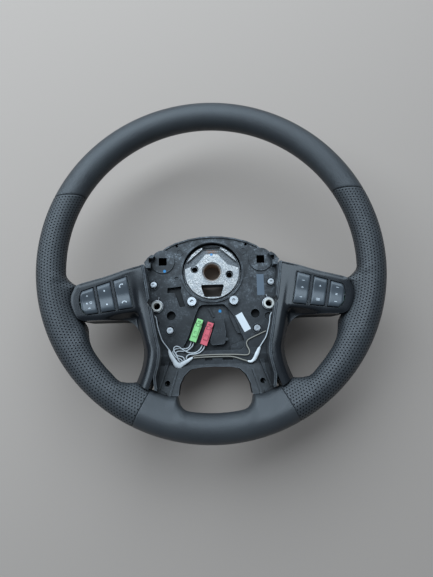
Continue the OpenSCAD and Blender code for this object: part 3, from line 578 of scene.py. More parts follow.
LIP = [(93.2, 3.5), (90.0, -20), (86.3, -42), (80.8, -68), (75.3, -95), (72.2, -107),
       (71.8, -117), (73.4, -129), (76.6, -143), polar(178.2, -62.7)]
STRIP = [(111, -70), (104.5, -74), (98.9, -79.5), (94.4, -88.5), (90.6, -100),
         (89.4, -110), (89.8, -120), (91.2, -128.5), (93.6, -137), polar(178, -56.6)]
POD_TOP = [(93.2, 3.5), (132, -12.2), (152, -18.6), (168, -23.4)]
POD_END = [(168, -23.4), (173.6, -27.4), polar(178.9, -10.6), polar(182.7, -12.6),
           polar(184.6, -15.5), polar(184.2, -19), polar(182.6, -21.8), (163, -71.2)]
POD_LOW = [(163, -71.2), (140, -70.4), (120, -69.6), (111, -70)]
FRONT = [(60, 64), (80, 66), (92, 68.5), (112, 75.5), (142, 80.6), (172, 84.6), (190, 86.2)]
lip_line, strip_line = flowing(LIP), flowing(STRIP)
pod_top, pod_end, pod_low = flowing(POD_TOP, 4), flowing(POD_END), flowing(POD_LOW, 4)
front_curve = flowing(FRONT, 8)
trim_outline = (lip_line[::-1] + pod_top[1:] + pod_end[1:] + pod_low[1:] + strip_line[1:])

# %% Switch pod frame
POD_AT, POD_TILT, ROCKER_LEAN = Vector((135.8, -42.2, 80.3)), -8.0, -11.5
CELL, FIELD_X, ROCKER_W, RIB_W, GAP = 21.7, 31.25, 17.1, 2.6, 1.0
pod_frame = (Matrix.Translation(POD_AT) @ Matrix.Rotation(math.radians(POD_TILT), 4, "Y")
             @ Matrix.Rotation(math.radians(ROCKER_LEAN), 4, "Z"))


def top_y(x):
    return 18.6 - x * math.tan(math.radians(7.8))


def low_y(x):
    return -18.6 + x * math.tan(math.radians(3))


ROUND_AT, ROUND_R = (CELL + ROCKER_W / 2 - 22, -0.92), 24.0 + GAP


def field_outline(x0, x1, margin, corner, rounded=False):
    """Plan outline in the pod's frame, with round corners and maybe a round outer end."""
    x1 += margin
    x0 -= margin
    low, high = (lambda x: low_y(x) - margin), (lambda x: top_y(x) + margin)
    line = []
    if rounded:
        radius = ROUND_R + margin
        ends = []
        for edge in (low, high):
            x = x1
            while x > x0 and math.hypot(x - ROUND_AT[0], edge(x) - ROUND_AT[1]) > radius:
                x -= 0.05
            ends.append(math.atan2(edge(x) - ROUND_AT[1], x - ROUND_AT[0]))
        sweep = [ends[0] + (ends[1] - ends[0]) * k / 28 for k in range(29)]
        line = [(ROUND_AT[0] + radius * math.cos(a), ROUND_AT[1] + radius * math.sin(a))
                for a in sweep]
        corners = [(x0, high(x0)), (x0, low(x0))]
    else:
        corners = [(x1, low(x1)), (x1, high(x1)), (x0, high(x0)), (x0, low(x0))]
    before = line[-1:] or [corners[-1]]
    for k, c in enumerate(corners):
        a = Vector(before[0] if k == 0 else corners[k - 1])
        b = Vector((line[:1] or [corners[0]])[0] if k == len(corners) - 1 else corners[k + 1])
        c = Vector(c)
        a, b = c + (a - c).normalized() * corner, c + (b - c).normalized() * corner
        for step in range(7):
            t = step / 6
            q = a * (1 - t) ** 2 + c * 2 * t * (1 - t) + b * t ** 2
            line.append((q.x, q.y))
    return line


def pod_xy(points):
    """Plan points of the pod's frame in the wheel's plan."""
    return [tuple((pod_frame @ Vector((x, y, 0))).xy) for x, y in points]


def prism(name, outline, low, high, frame_matrix=None):
    """A straight block with a plan outline, used as a cutter."""
    source = bmesh.new()
    source.faces.new([source.verts.new((x, y, low)) for x, y in outline])
    bmesh.ops.translate(source, vec=(0, 0, high - low), verts=extruded(source))
    outward(source)
    if frame_matrix is not None:
        bmesh.ops.transform(source, matrix=frame_matrix, verts=source.verts)
    to_metres(source)
    return as_object(name, source)


def inside_of(source, cutters):
    """Applies booleans to an object: pairs of an operation and a cutter."""
    for kind, cutter in cutters:
        change = source.modifiers.new("cut", "BOOLEAN")
        change.operation = kind
        change.solver = "EXACT"
        change.object = cutter
    view = bpy.context.evaluated_depsgraph_get()
    mesh = bpy.data.meshes.new_from_object(source.evaluated_get(view))
    source.modifiers.clear()
    source.data = mesh
    for kind, cutter in cutters:
        if cutter.name in bpy.data.objects:
            bpy.data.objects.remove(cutter)
    return mesh


def soft_edges(piece, width, segments=3, angle=35):
    """A bevel for the cut edges that leaves the curved face alone."""
    change = piece.modifiers.new("edges", "BEVEL")
    change.width = width * MM
    change.segments = segments
    change.limit_method = "ANGLE"
    change.angle_limit = math.radians(angle)
    change.harden_normals = True


# %% Trim surface
TRIM_DEPTH, LARGEST_DROP = 16.8, 15.6


def trim_height(points):
    """Height of the trim's face over plan points, in millimetres."""
    x, y = points.T
    r = np.hypot(x, y)
    face = np.interp(r, [q[0] for q in front_curve], [q[1] for q in front_curve])
    from_lip = away(points, lip_line)
    from_low = away(points, strip_line + pod_low)
    from_top, from_end = away(points, pod_top), away(points, pod_end)
    block = pod_xy(field_outline(-FIELD_X, FIELD_X, 2.4, 4, True))
    off_block = away(points, block + block[:1])
    off_block[within(points, block)] = 0
    along = soft((-12 - y) / 40)
    past = np.clip(from_lip - 5.2, 0, None)
    wall = np.hypot(past, 0.9) - 0.9
    wall = np.minimum(0.66 * wall + 6.4 * (wall / 12) ** 3, 15.3)
    wall *= 1 - soft((x - 112) / 34)
    drop = along * wall * soft(off_block / 9)
    drop += arc(6.0 - from_low, 7.4) * (0.6 + 0.4 * soft((x - 104) / 10))
    drop += arc(5.2 - from_top, 6.2) + arc(2.2 - from_end, 3)
    drop += 0.0042 * np.clip(27 - from_top, 0, None) ** 2 * soft((118 - x) / 22)
    drop += arc(0.9 - from_lip, 1.0)
    return face - np.minimum(drop, LARGEST_DROP)


def within(points, outline):
    """Which plan points lie inside an outline."""
    x, y = np.asarray(points).T
    hit = np.zeros(len(x), bool)
    for (ax, ay), (bx, by) in zip(outline, outline[1:] + outline[:1]):
        if ay == by:
            continue
        crossed = ((ay > y) != (by > y)) & (x < (bx - ax) * (y - ay) / (by - ay) + ax)
        hit ^= crossed
    return hit


def smoothed(field, rounds):
    """A height field averaged with its neighbours a few times, edges kept."""
    for _ in range(rounds):
        wide = np.pad(field, 1, mode="edge")
        field = (wide[1:-1, 1:-1] * 4 + wide[:-2, 1:-1] * 2 + wide[2:, 1:-1] * 2
                 + wide[1:-1, :-2] * 2 + wide[1:-1, 2:] * 2 + wide[:-2, :-2] + wide[2:, 2:]
                 + wide[:-2, 2:] + wide[2:, :-2]) / 16
    return field


TRIM_LOW, TRIM_CELLS, TRIM_STEP = (60, -166), (158, 221), 0.8
xs, ys = (low + TRIM_STEP * np.arange(count) for low, count in zip(TRIM_LOW, TRIM_CELLS))
grid = np.array([(x, y) for y in ys for x in xs])
trim_field = smoothed(trim_height(grid).reshape(len(ys), len(xs)), 3)


def make_trim(word, mirrored):
    keep = within(grid, trim_outline) | (away(grid, trim_outline + trim_outline[:1]) < 3)
    front = np.interp(np.hypot(*grid.T), [q[0] for q in front_curve],
                      [q[1] for q in front_curve])
    source = bmesh.new()
    bmesh.ops.create_grid(source, x_segments=len(xs) - 1, y_segments=len(ys) - 1, size=0.5)
    number = {}
    for v in source.verts:
        i = round((v.co.x + 0.5) * (len(xs) - 1))
        j = round((v.co.y + 0.5) * (len(ys) - 1))
        number[v] = j * len(xs) + i
        v.co = (xs[i], ys[j], front[number[v]] - TRIM_DEPTH)
    bmesh.ops.delete(source, geom=[v for v in source.verts if not keep[number[v]]],
                     context="VERTS")
    heights = trim_field.ravel()
    for v in extruded(source):
        i, j = round((v.co.x - xs[0]) / TRIM_STEP), round((v.co.y - ys[0]) / TRIM_STEP)
        v.co.z = heights[j * len(xs) + i]
    outward(source)
    to_metres(source)
    piece = new_piece(f"trim_{word}_moulding", source)
    cutters = [("INTERSECT", prism("outline", trim_outline, 20, 120)),
               ("DIFFERENCE", prism("window", field_outline(-FIELD_X, FIELD_X, 0.35, 2.6, True),
                                    -40, 40, pod_frame))]
    inside_of(piece, cutters)
    at_home(piece, mirrored)
    piece.data.shade_smooth()
    soft_edges(piece, 0.5)
    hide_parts(f"trim_{word}")
    print(piece.name, "faces", len(piece.data.polygons))
    return piece


trims = [make_trim("right", False), make_trim("left", True)]

# %% [markdown]
# Three rockers sit in each housing. Its border lies low and in shadow, and two light
# ribs stand between the rockers. The housing is a block with three pockets cut by
# booleans, and the ribs are joined on before a small bevel rounds all its edges.

# %% Switch housings
HOUSING_BASE, HOUSING_TOP, RIB_TOP = -9.5, -1.4, 0.7


def make_housing(word, mirrored):
    piece = prism("body", field_outline(-FIELD_X, FIELD_X, 1.5, 4, True), HOUSING_BASE,
                  HOUSING_TOP, pod_frame)
    piece.name = f"housing_{word}_frame"
    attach(piece, "wheel")
    half = (CELL - RIB_W) / 2
    pockets = [prism("pocket", field_outline(i * CELL - half, i * CELL + half, 0, 0.8, i == 1),
                     -14, 12, pod_frame) for i in (-1, 0, 1)]
    ribs = []
    for side in (-0.5, 0.5):
        x0, x1 = side * CELL - RIB_W / 2, side * CELL + RIB_W / 2
        ribs.append(prism("rib", [(x0, low_y(x0)), (x1, low_y(x1)), (x1, top_y(x1)),
                                  (x0, top_y(x0))], HOUSING_BASE, RIB_TOP,
                          pod_frame))
    inside_of(piece, [("DIFFERENCE", p) for p in pockets] + [("UNION", r) for r in ribs])
    at_home(piece, mirrored)
    soft_edges(piece, 0.3)
    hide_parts(f"housing_{word}")
    print(piece.name, "faces", len(piece.data.polygons))
    return piece


housings = [make_housing("right", False), make_housing("left", True)]

# %% [markdown]
# A rocker's face is a saddle that a thumb finds without looking: hollow in the middle,
# raised towards both ends, and rounded over all round. It is a height field again,
# cut to the rocker's outline, and it rides on the rocker's own body.

# %% Rockers
ROCKER_BASE = -4.9


def rocker_box(i):
    x = (i - 2) * CELL
    return x, x - ROCKER_W / 2, x + ROCKER_W / 2


def rocker_height(i, x, y):
    """Height of a rocker's face in the pod's frame."""
    x0, x1 = rocker_box(i)[1:]
    ends = np.minimum(y - low_y(x) - GAP, top_y(x) - GAP - y)
    inset = np.minimum(np.minimum(x - x0, x1 - x), ends)
    if i == 3:
        inset = np.minimum(inset, ROUND_R - GAP - np.hypot(x - ROUND_AT[0], y - ROUND_AT[1]))
    rise = 0.5 + 1.75 * soft(np.abs(y) / 12.5)
    roll = arc(2.2 - inset, 2.35)
    return rise - 0.8 * roll - 1.1 * soft((4.5 - ends) / 4.5)


def make_rocker(word, i, mirrored):
    mid, x0, x1 = rocker_box(i)
    y0, y1 = low_y(x0) - 1, top_y(x0) + 1
    source = bmesh.new()
    bmesh.ops.create_grid(source, x_segments=34, y_segments=76, size=0.5)
    for v in source.verts:
        v.co.x = mid + v.co.x * (ROCKER_W + 2)
        v.co.y = (y0 + y1) / 2 + v.co.y * (y1 - y0)
        v.co.z = ROCKER_BASE
    for v in extruded(source):
        v.co.z = float(rocker_height(i, v.co.x, v.co.y))
    outward(source)
    bmesh.ops.transform(source, matrix=Matrix.Scale(MM, 4) @ pod_frame, verts=source.verts)
    piece = new_piece(f"rocker_{word}_{i}_cap", source, f"rocker_{word}_{i}")
    outline = field_outline(x0 - GAP, x1 + GAP, -GAP, 1.3, i == 3)
    inside_of(piece, [("INTERSECT", prism("outline", outline, -20, 20, pod_frame))])
    at_home(piece, mirrored)
    piece.data.shade_smooth()
    soft_edges(piece, 0.25, 2, 45)
    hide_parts(f"rocker_{word}_{i}")
    print(piece.name, "faces", len(piece.data.polygons))
    return piece


rockers = {}
for word, mirrored in (("right", False), ("left", True)):
    for i in (1, 2, 3):
        rockers[word, i] = make_rocker(word, i, mirrored)

# %% [markdown]
# The rockers carry pale printed symbols, all of generic kinds: handsets, arrows, bars
# and a diamond. Each is a short stroke or a small outline, laid on the face and raised
# by a few hundredths of a millimetre, as thick ink is.

# %% Symbols
INK_ABOVE, INK_BELOW = 0.05, -0.25


def stroke(points, width):
    """Outline of a line of even width along points, with square ends."""
    left, right = [], []
    for k, p in enumerate(points):
        a, b = Vector(points[max(k - 1, 0)]), Vector(points[min(k + 1, len(points) - 1)])
        side = (b - a).normalized().to_3d().cross(Vector((0, 0, 1))).xy * width / 2
        left.append(tuple(Vector(p) + side))
        right.append(tuple(Vector(p) - side))
    return left + right[::-1]


def bow(radius, first, last, at=(0, 0), steps=10):
    return [(at[0] + radius * math.cos(math.radians(first + (last - first) * k / steps)),
             at[1] + radius * math.sin(math.radians(first + (last - first) * k / steps)))
            for k in range(steps + 1)]


def turned(outline, angle):
    c, s = math.cos(math.radians(angle)), math.sin(math.radians(angle))
    return [(x * c - y * s, x * s + y * c) for x, y in outline]


HANDSET = [stroke(bow(3.0, 35, 145, (0, -1.9)), 0.9), [(1.5, -0.9), (2.6, -1.5), (3.3, -0.2),
           (2.4, 0.6)], [(-1.5, -0.9), (-2.4, 0.6), (-3.3, -0.2), (-2.6, -1.5)]]
ARROW_UP = [[(-1.3, -0.8), (1.3, -0.8), (0, 1.2)]]
DIAMOND = [[(-1.1, 0), (0, -1.4), (1.1, 0), (0, 1.4)]]
DIAMONDS = [[(-0.9, 0), (0, -1.1), (0.9, 0), (0, 1.1)]]
BARS = [[(-2.2, y), (2.2, y), (2.2, y + 0.5), (-2.2, y + 0.5)] for y in (-1.5, -0.3, 0.9)]
DASH = [[(-1.6, -0.3), (1.6, -0.3), (1.6, 0.3), (-1.6, 0.3)]]
RING = [stroke(bow(1.3, 0, 350, steps=16), 0.45)]
CROSS = [stroke([(-1.2, -1.2), (1.2, 1.2)], 0.45), stroke([(-1.2, 1.2), (1.2, -1.2)], 0.45)]
WAVE = [stroke(bow(1.4, 20, 160), 0.5), stroke(bow(0.6, 20, 160), 0.5)]
symbols = {
    ("left", 1): [(HANDSET, 38, 0.4, 11.6), (HANDSET, 0, 0.2, -10.2)],
    ("left", 2): [(DIAMOND, 0, 0.2, 8.8), (DIAMOND, 0, 0.0, -8.9)],
    ("left", 3): [(DIAMONDS, 0, 0.4, 6.6), (ARROW_UP, 90, 2.4, -2.6), (RING, 0, -2.6, -2.4),
                  (WAVE, 0, 0.2, -10.2)],
    ("right", 1): [(DASH, 0, 0.6, 11.2), (WAVE, 0, 0.3, 1.5), (DASH, 0, 0.0, -10.6)],
    ("right", 2): [(ARROW_UP, 0, 0.5, 7.2), (BARS, 0, -0.2, -10.6)],
    ("right", 3): [(DASH, 0, 0.2, 8.2), (CROSS, 0, 0.1, -0.4), (DASH, 0, 0.0, -10.2)],
}


def make_symbols(word, i, marks):
    """Prints symbols on a rocker: (outlines, turn, across, along) for each."""
    mid = rocker_box(i)[0]
    sign = -1 if word == "left" else 1
    source = bmesh.new()
    for outlines, turn, across, along in marks:
        for outline in outlines:
            # Seen from the driver, the left-hand pod runs outwards to the left
            plan = [(mid + across + sign * x, along + y) for x, y in turned(outline, turn)]
            source.faces.new([source.verts.new((x, y, 0)) for x, y in plan])
    bmesh.ops.subdivide_edges(source, edges=[e for e in source.edges if e.calc_length() > 1.5],
                              cuts=2, use_grid_fill=False)
    bmesh.ops.triangulate(source, faces=source.faces)
    high = set(extruded(source))
    for v in source.verts:
        z = float(rocker_height(i, v.co.x, v.co.y))
        v.co.z = z + (INK_ABOVE if v in high else INK_BELOW)
    bmesh.ops.transform(source, matrix=Matrix.Scale(MM, 4) @ pod_frame, verts=source.verts)
    outward(source)
    piece = new_piece(f"rocker_{word}_{i}_symbols", source, f"rocker_{word}_{i}")
    at_home(piece, word == "left")
    return piece


printed = [make_symbols(word, i, marks) for (word, i), marks in symbols.items()]
print("symbols", len(printed))

# %% [markdown]
# The leads from plug to switch are thin and lie in the carrier. Where they turn the
# corner of the cross bar they are wrapped in white cloth tape, which has gone flat and
# wide. A flattened ring is extruded along the route, with its own width at each place.

# %% Leads
BEIGE_LEADS = ("harness_bottom", "harness_branch")
lead_up = [[65.6, -102.4, 29.5], [71, -94.5, 29.2], [74.5, -84.5, 29.2], [77.3, -74, 29.2],
    [78.3, -66.4, 29.5], [80.2, -61.8, 30.6], [83.6, -60, 31.3], [88, -58.8, 33.4],
    [96, -57.5, 42], [105, -56, 53], [112, -52, 63]]
lead_routes = {
    "harness_right": [[62.2, -107.2, 31.1]] + lead_up,
    "harness_left": [[-x, y, z] for x, y, z in [[61.8, -107.3, 30.9]] + lead_up],
    "harness_bottom": [[-27.7, -120.2, 38.8], [-22, -119.8, 38], [-12, -119.4, 37.3],
        [0, -119.2, 37.2], [12, -119.2, 37.2], [22, -119.6, 37.2], [30, -121.4, 37.4],
        [37, -124, 38.2], [43.4, -126.2, 38.9]],
    "harness_branch": [[-29.2, -118.3, 38.9], [-24, -117.3, 38], [-16, -116.8, 37.4],
        [-4, -116.6, 37.3], [10, -116.6, 37.3], [24, -117, 37.4], [34, -117.6, 37.4],
        [41, -118.2, 37.4], [45.6, -117.4, 37.4], [47.4, -113.8, 35.2], [46.6, -109.4, 31.2],
        [44.9, -105.6, 29.5], [44.4, -101.4, 29.2], [46.6, -97.6, 29.2], [53, -94.2, 29.2],
        [60, -91.2, 29.2], [66.4, -88.4, 29.2], [71.6, -86.2, 29.2]],
}
leads = {}
for name, route in lead_routes.items():
    lead, points, length = wire_curve(name + "_lead", route, WIRE_D)
    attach(lead, "wheel")
    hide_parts(name)
    leads[name] = lead
    print(name, "length", round(length * 1000, 1), "mm")


# %% Taped sleeves
def tape_sleeve(name, route, widths, heights, drop, ring_steps=20):
    """A flat tube along a route; widths and heights are read at each route point."""
    line = smooth_route(route, 10)
    at = np.linspace(0, len(route) - 1, len(line))
    wide = np.interp(at, range(len(route)), widths)
    tall = np.interp(at, range(len(route)), heights)
    source = bmesh.new()
    verts = bmesh.ops.create_circle(source, cap_ends=False, segments=ring_steps,
                                    radius=1)["verts"]
    shape = [Vector(v.co) for v in verts]
    edges = source.edges[:]
    for k, centre in enumerate(line):
        ahead = (line[min(k + 1, len(line) - 1)] - line[max(k - 1, 0)]).normalized()
        across = ahead.cross(Vector((0, 0, 1))).normalized()
        up = across.cross(ahead)
        if k:
            made = bmesh.ops.extrude_edge_only(source, edges=edges)["geom"]
            edges = [g for g in made if isinstance(g, bmesh.types.BMEdge)]
            order = sorted(only_verts(made), key=lambda v: math.atan2(
                (v.co - before[0]).dot(before[2]) / before[4],
                (v.co - before[0]).dot(before[1]) / before[3]))
        else:
            order = sorted(verts, key=lambda v: math.atan2(v.co.y, v.co.x))
        ridge = 1 + 0.05 * math.sin(k * 2.1)
        w, h = wide[k] / 2 * ridge, tall[k] / 2 * ridge
        middle = centre - Vector((0, 0, drop))
        for v, s in zip(order, sorted(shape, key=lambda s: math.atan2(s.y, s.x))):
            v.co = middle + across * s.x * w + up * s.y * h
        before = (middle, across, up, w, h)
    rims = [e for e in source.edges if e.is_boundary]
    bmesh.ops.holes_fill(source, edges=rims, sides=0)
    to_metres(source)
    outward(source)
    piece = new_piece(name + "_tape", source)
    smooth_shade(piece, 50)
    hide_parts(name)
    print(piece.name, "faces", len(piece.data.polygons))
    return piece


sleeves = [
    tape_sleeve("sleeve_left", [[-61.6, -108, 31.8], [-60, -112, 35.6], [-57.4, -117.4, 39.3],
        [-53.5, -124, 39.3], [-50.5, -128.2, 39.7], [-47, -129.3, 39.9], [-43, -127.4, 39.6],
        [-36, -123.6, 39.2], [-29, -119.5, 39]],
        [2.2, 4.2, 5.6, 6.4, 8.0, 8.4, 6.6, 5.0, 2.6],
        [2.2, 2.8, 3.0, 3.0, 3.2, 3.2, 3.0, 2.8, 2.2], 1.2),
    tape_sleeve("sleeve_right", [[44, -126.4, 39], [49, -127, 39], [53.5, -123.5, 39.1],
        [57, -117, 39], [60.2, -111, 34.8], [61.8, -108, 31.9]],
        [2.2, 3.6, 5.0, 5.6, 4.4, 2.2], [2.2, 2.6, 2.8, 2.8, 2.6, 2.2], 1.2)]

# %% [markdown]
# Every other CAD solid keeps its shape and gets its own finish.

# %% Moulded finishes
def edge_mask(tree, radius, low=0.015, high=0.14):
    """1 along sharp edges: where a rounded normal turns away from the true one."""
    round_off = add(tree, "ShaderNodeBevel", samples=6)
    round_off.inputs["Radius"].default_value = radius
    true_one = add(tree, "ShaderNodeNewGeometry")
    dot = add(tree, "ShaderNodeVectorMath", operation="DOT_PRODUCT")
    tree.links.new(round_off.outputs["Normal"], dot.inputs[0])
    tree.links.new(true_one.outputs["Normal"], dot.inputs[1])
    return spread(tree, maths(tree, "SUBTRACT", 1.0, dot.outputs["Value"]), low, high)


def open_to_light(tree, distance, low=0.35, high=0.95):
    """0 down in grooves and corners, 1 out in the open."""
    node = add(tree, "ShaderNodeAmbientOcclusion", samples=6)
    node.inputs["Distance"].default_value = distance
    return spread(tree, node.outputs["AO"], low, high)


def moulded(name, colour, rough, grain_scale=1600, grain=0.25, vary=0.25, specular=0.4,
            dust_and_sky_sheen=None, crevice_shade=None):
    mat, tree, shader = finish(name, colour, rough, specular=specular)
    where = place_of(tree)
    patch = noise(tree, where, 22, 4)
    dark = tuple(c * (1 - vary) for c in colour)
    pale = tuple(c * (1 + vary) for c in colour)
    shade = blend_colours(tree, spread(tree, patch, 0.3, 0.7), dark, pale)
    # Pale bluish film and specks: dust, and painted sky reflection
    if dust_and_sky_sheen is not None:
        specks = spread(tree, noise(tree, where, 420, 6, 0.7), 0.47, 0.62, 0.0, 0.9)
        film = spread(tree, noise(tree, where, 55, 5, 0.65), 0.38, 0.62, 0.0, 0.9)
        cover = maths(tree, "MAXIMUM", times(tree, specks, film),
                      times(tree, film, 0.20))
        # More of it towards the top of the wheel: painted sky reflection
        cover = times(tree, cover,
                      spread(tree, axes_of(tree, where)[1], -0.085, 0.02, 0.2, 1.0))
        shade = blend_colours(tree, cover, shade, dust_and_sky_sheen)
        # Pale sharp edges: partly wear, partly painted highlight
        edge_wear_and_highlight = times(tree, edge_mask(tree, 0.0006),
                     spread(tree, noise(tree, where, 90, 3), 0.35, 0.6, 0.15, 0.8))
        edge_wear_and_highlight = times(tree, edge_wear_and_highlight, open_to_light(tree, 0.002, 0.6, 0.95))
        shade = blend_colours(tree, edge_wear_and_highlight, shade, (0.20, 0.22, 0.24))
        # Near black down in grooves and corners: painted shade
        shade = blend_colours(tree, open_to_light(tree, 0.006, 0.35, 0.95),
                              (0.0015, 0.0015, 0.002), shade)
    # Darker in tight gaps and corners: painted shade
    if crevice_shade is not None:
        shade = blend_colours(tree, open_to_light(tree, 0.002, 0.3, 0.85), crevice_shade, shade)
    tree.links.new(shade, shader.inputs["Base Color"])
    tree.links.new(spread(tree, patch, 0.3, 0.7, rough - 0.05, rough + 0.06),
                   shader.inputs["Roughness"])
    bump(tree, shader, noise(tree, where, grain_scale, 2), grain, 0.0003)
    return mat


def near(tree, where, places, radius):
    """A mask for small round marks at plan places, in millimetres."""
    x, y = axes_of(tree, where)[:2]
    mask = None
    for px, py in places:
        far = length_of(tree, maths(tree, "SUBTRACT", x, px * MM),
                        maths(tree, "SUBTRACT", y, py * MM))
        spot = spread(tree, far, (radius - 0.3) * MM, radius * MM, 1, 0)
        mask = spot if mask is None else maths(tree, "MAXIMUM", mask, spot)
    return mask


def add_marks(material, places, radius, colour):
    """Paints round marks over a finish."""
    tree = material.node_tree
    shader = tree.nodes["Principled BSDF"]
    under = shader.inputs["Base Color"].links[0].from_socket
    mask = near(tree, place_of(tree), places, radius)
    tree.links.new(blend_colours(tree, mask, under, colour), shader.inputs["Base Color"])


def add_frame(material, node, share, size, line, colour):
    """Paints a thin dark frame on a long piece, at a share of its length from the middle."""
    flat = np.array([v.co.xy for v in node.data.vertices])
    middle = (flat.max(0) + flat.min(0)) / 2
    along = np.linalg.svd(flat - flat.mean(0), full_matrices=False)[2][0]
    along *= 1 if along[1] > 0 else -1
    length = np.ptp(flat @ along)
    middle = middle + along * length * share
    tree = material.node_tree
    shader = tree.nodes["Principled BSDF"]
    x, y = axes_of(tree, place_of(tree))[:2]
    dx = maths(tree, "SUBTRACT", x, float(middle[0]))
    dy = maths(tree, "SUBTRACT", y, float(middle[1]))
    sides = []
    for a, b in ((along[0], along[1]), (-along[1], along[0])):
        step = maths(tree, "ADD", times(tree, dx, float(a)), times(tree, dy, float(b)))
        sides.append(maths(tree, "ABSOLUTE", step))
    masks = []
    for inset in (0, line):
        ends = [spread(tree, side, (half - inset - 0.15) * MM, (half - inset) * MM, 1, 0)
                for side, half in zip(sides, size)]
        masks.append(times(tree, *ends))
    mask = maths(tree, "SUBTRACT", *masks)
    under = shader.inputs["Base Color"].links[0].from_socket
    tree.links.new(blend_colours(tree, mask, under, colour), shader.inputs["Base Color"])


# %% Plastics, wires and labels
carrier_finish = moulded("carrier_plastic", (0.017, 0.018, 0.020), 0.50, vary=0.35,
                         dust_and_sky_sheen=(0.23, 0.25, 0.27))
# Near black for the carrier's keyhole and round recesses: painted shade
recess_shade_finish = moulded("carrier_recess_shade", (0.0035, 0.0035, 0.004), 0.6)
trim_finish = moulded("trim_plastic", (0.007, 0.008, 0.010), 0.26, 2600, 0.02, 0.08, 0.42)
rear_finish = moulded("rear_plastic", (0.007, 0.008, 0.009), 0.6, 2400, 0.1, 0.1, 0.25)
cover_finish = moulded("cover_plastic", (0.022, 0.024, 0.027), 0.36, 2400, 0.1, 0.1)
rocker_finish = moulded("rocker_plastic", (0.056, 0.064, 0.073), 0.36, 2400, 0.15, 0.1, 0.5)
symbol_finish = moulded("symbol_ink", (0.62, 0.64, 0.66), 0.5, vary=0.1)
tape_finish = moulded("white_tape", (0.66, 0.66, 0.66), 0.62, 700, 0.6, 0.2)
silicone_finish = moulded("silicone", (0.55, 0.56, 0.55), 0.6)
board_finish = moulded("board", (0.03, 0.16, 0.08), 0.35)
bush_finish = moulded("bush_plastic", (0.55, 0.53, 0.49), 0.45)
green_finish = moulded("green_plastic", (0.31, 0.68, 0.26), 0.4, vary=0.06,
                       crevice_shade=(0.004, 0.02, 0.004))
red_finish = moulded("red_plastic", (0.68, 0.12, 0.15), 0.4, vary=0.06,
                     crevice_shade=(0.04, 0.004, 0.008))
white_finish = moulded("white_insulation", (0.52, 0.53, 0.54), 0.5, vary=0.12)
beige_finish = moulded("beige_insulation", (0.26, 0.235, 0.20), 0.5, vary=0.1)
label_finish = moulded("label_white", (0.66, 0.67, 0.68), 0.5, vary=0.05)
grey_label_finish = moulded("label_grey", (0.10, 0.125, 0.155), 0.35, vary=0.1)
foam_finish = moulded("foam", (0.02, 0.02, 0.022), 0.8)
add_marks(carrier_finish, [(-66.5, 1.6), (9.6, -56)], 2.2, (0.02, 0.21, 0.46))
# Thin near-black frames on both plugs: painted shade in the gaps round their latches and windows
for material, word in ((green_finish, "green"), (red_finish, "red")):
    for share, size in ((0.24, (2.4, 2.6)), (0.40, (0.9, 2.0))):
        add_frame(material, nodes[f"connector_{word}"], share, size, 0.55, (0.01, 0.012, 0.012))
add_marks(bush_finish, [(77.3, -48), (-77.3, -48)], 4.75, (0.34, 0.22, 0.15))


# %% [markdown]
# The hub is cast from light alloy, machined on its face and rusty in the bore. One
# finish serves the whole casting: it tells the face, the shoulders, the grooves and
# the bore apart by height and radius, so nothing is painted onto single faces.

# %% Cast hub
def cast_metal():
    """Machined face, shoulders and grooves of the hub, told apart by their height."""
    mat, tree, shader = finish("cast_metal", (0.4, 0.42, 0.44), 0.45, metallic=0.55)
    where = place_of(tree)
    x, y, z = axes_of(tree, where)
    radius = length_of(tree, x, y)
    specks = noise(tree, where, 700, 6, 0.75)
    mottle = noise(tree, where, 150, 5, 0.7)
    face = blend_colours(tree, spread(tree, specks, 0.42, 0.57),
                         (0.16, 0.155, 0.155), (0.68, 0.65, 0.62))
    face = blend_colours(tree, spread(tree, mottle, 0.40, 0.68, 0, 0.85), face,
                         (0.30, 0.31, 0.32))
    skin = blend_colours(tree, spread(tree, specks, 0.35, 0.65),
                         (0.06, 0.063, 0.068), (0.18, 0.185, 0.19))
    level = maths(tree, "ADD", z, times(tree, maths(tree, "SUBTRACT", mottle, 0.5),
                                        0.0006))
    high = spread(tree, level, 0.0219, 0.0223)
    colour = blend_colours(tree, high, skin, face)
    flange = spread(tree, radius, 0.0378, 0.0384)
    colour = blend_colours(tree, flange, colour, skin)
    bore = spread(tree, radius, 0.0120, 0.0125, 1, 0)
    rust = blend_colours(tree, spread(tree, specks, 0.35, 0.6),
                         (0.20, 0.105, 0.055), (0.48, 0.36, 0.28))
    colour = blend_colours(tree, bore, colour, rust)
    slot_x = spread(tree, maths(tree, "ABSOLUTE", x), 0.003, 0.011, 1, 0)
    slot_y = spread(tree, maths(tree, "ABSOLUTE", maths(tree, "SUBTRACT", y, 0.0315)),
                    0.0020, 0.0034, 1, 0)
    low = spread(tree, z, 0.0175, 0.0215, 1, 0)
    rusty = times(tree, times(tree, slot_x, slot_y), low)
    rusty = times(tree, rusty, spread(tree, mottle, 0.4, 0.6, 0.2, 0.9))
    colour = blend_colours(tree, rusty, colour, (0.30, 0.13, 0.06))
    far = length_of(tree, maths(tree, "ADD", x, 0.0002), maths(tree, "SUBTRACT", y, 0.0263))
    colour = blend_colours(tree, spread(tree, far, 0.0018, 0.0022, 1, 0), colour,
                           (0.02, 0.21, 0.46))
    # Pale sharp edges: painted highlight
    colour = blend_colours(tree, times(tree, edge_mask(tree, 0.0007), 0.5),
                           colour, (0.86, 0.88, 0.90))
    # Dark down in grooves and corners: painted shade
    colour = blend_colours(tree, open_to_light(tree, 0.005, 0.2, 0.8),
                           (0.05, 0.045, 0.04), colour)
    tree.links.new(colour, shader.inputs["Base Color"])
    tree.links.new(spread(tree, specks, 0.3, 0.7, 0.52, 0.36), shader.inputs["Roughness"])
    bump(tree, shader, specks, 0.35, 0.0003)
    return mat


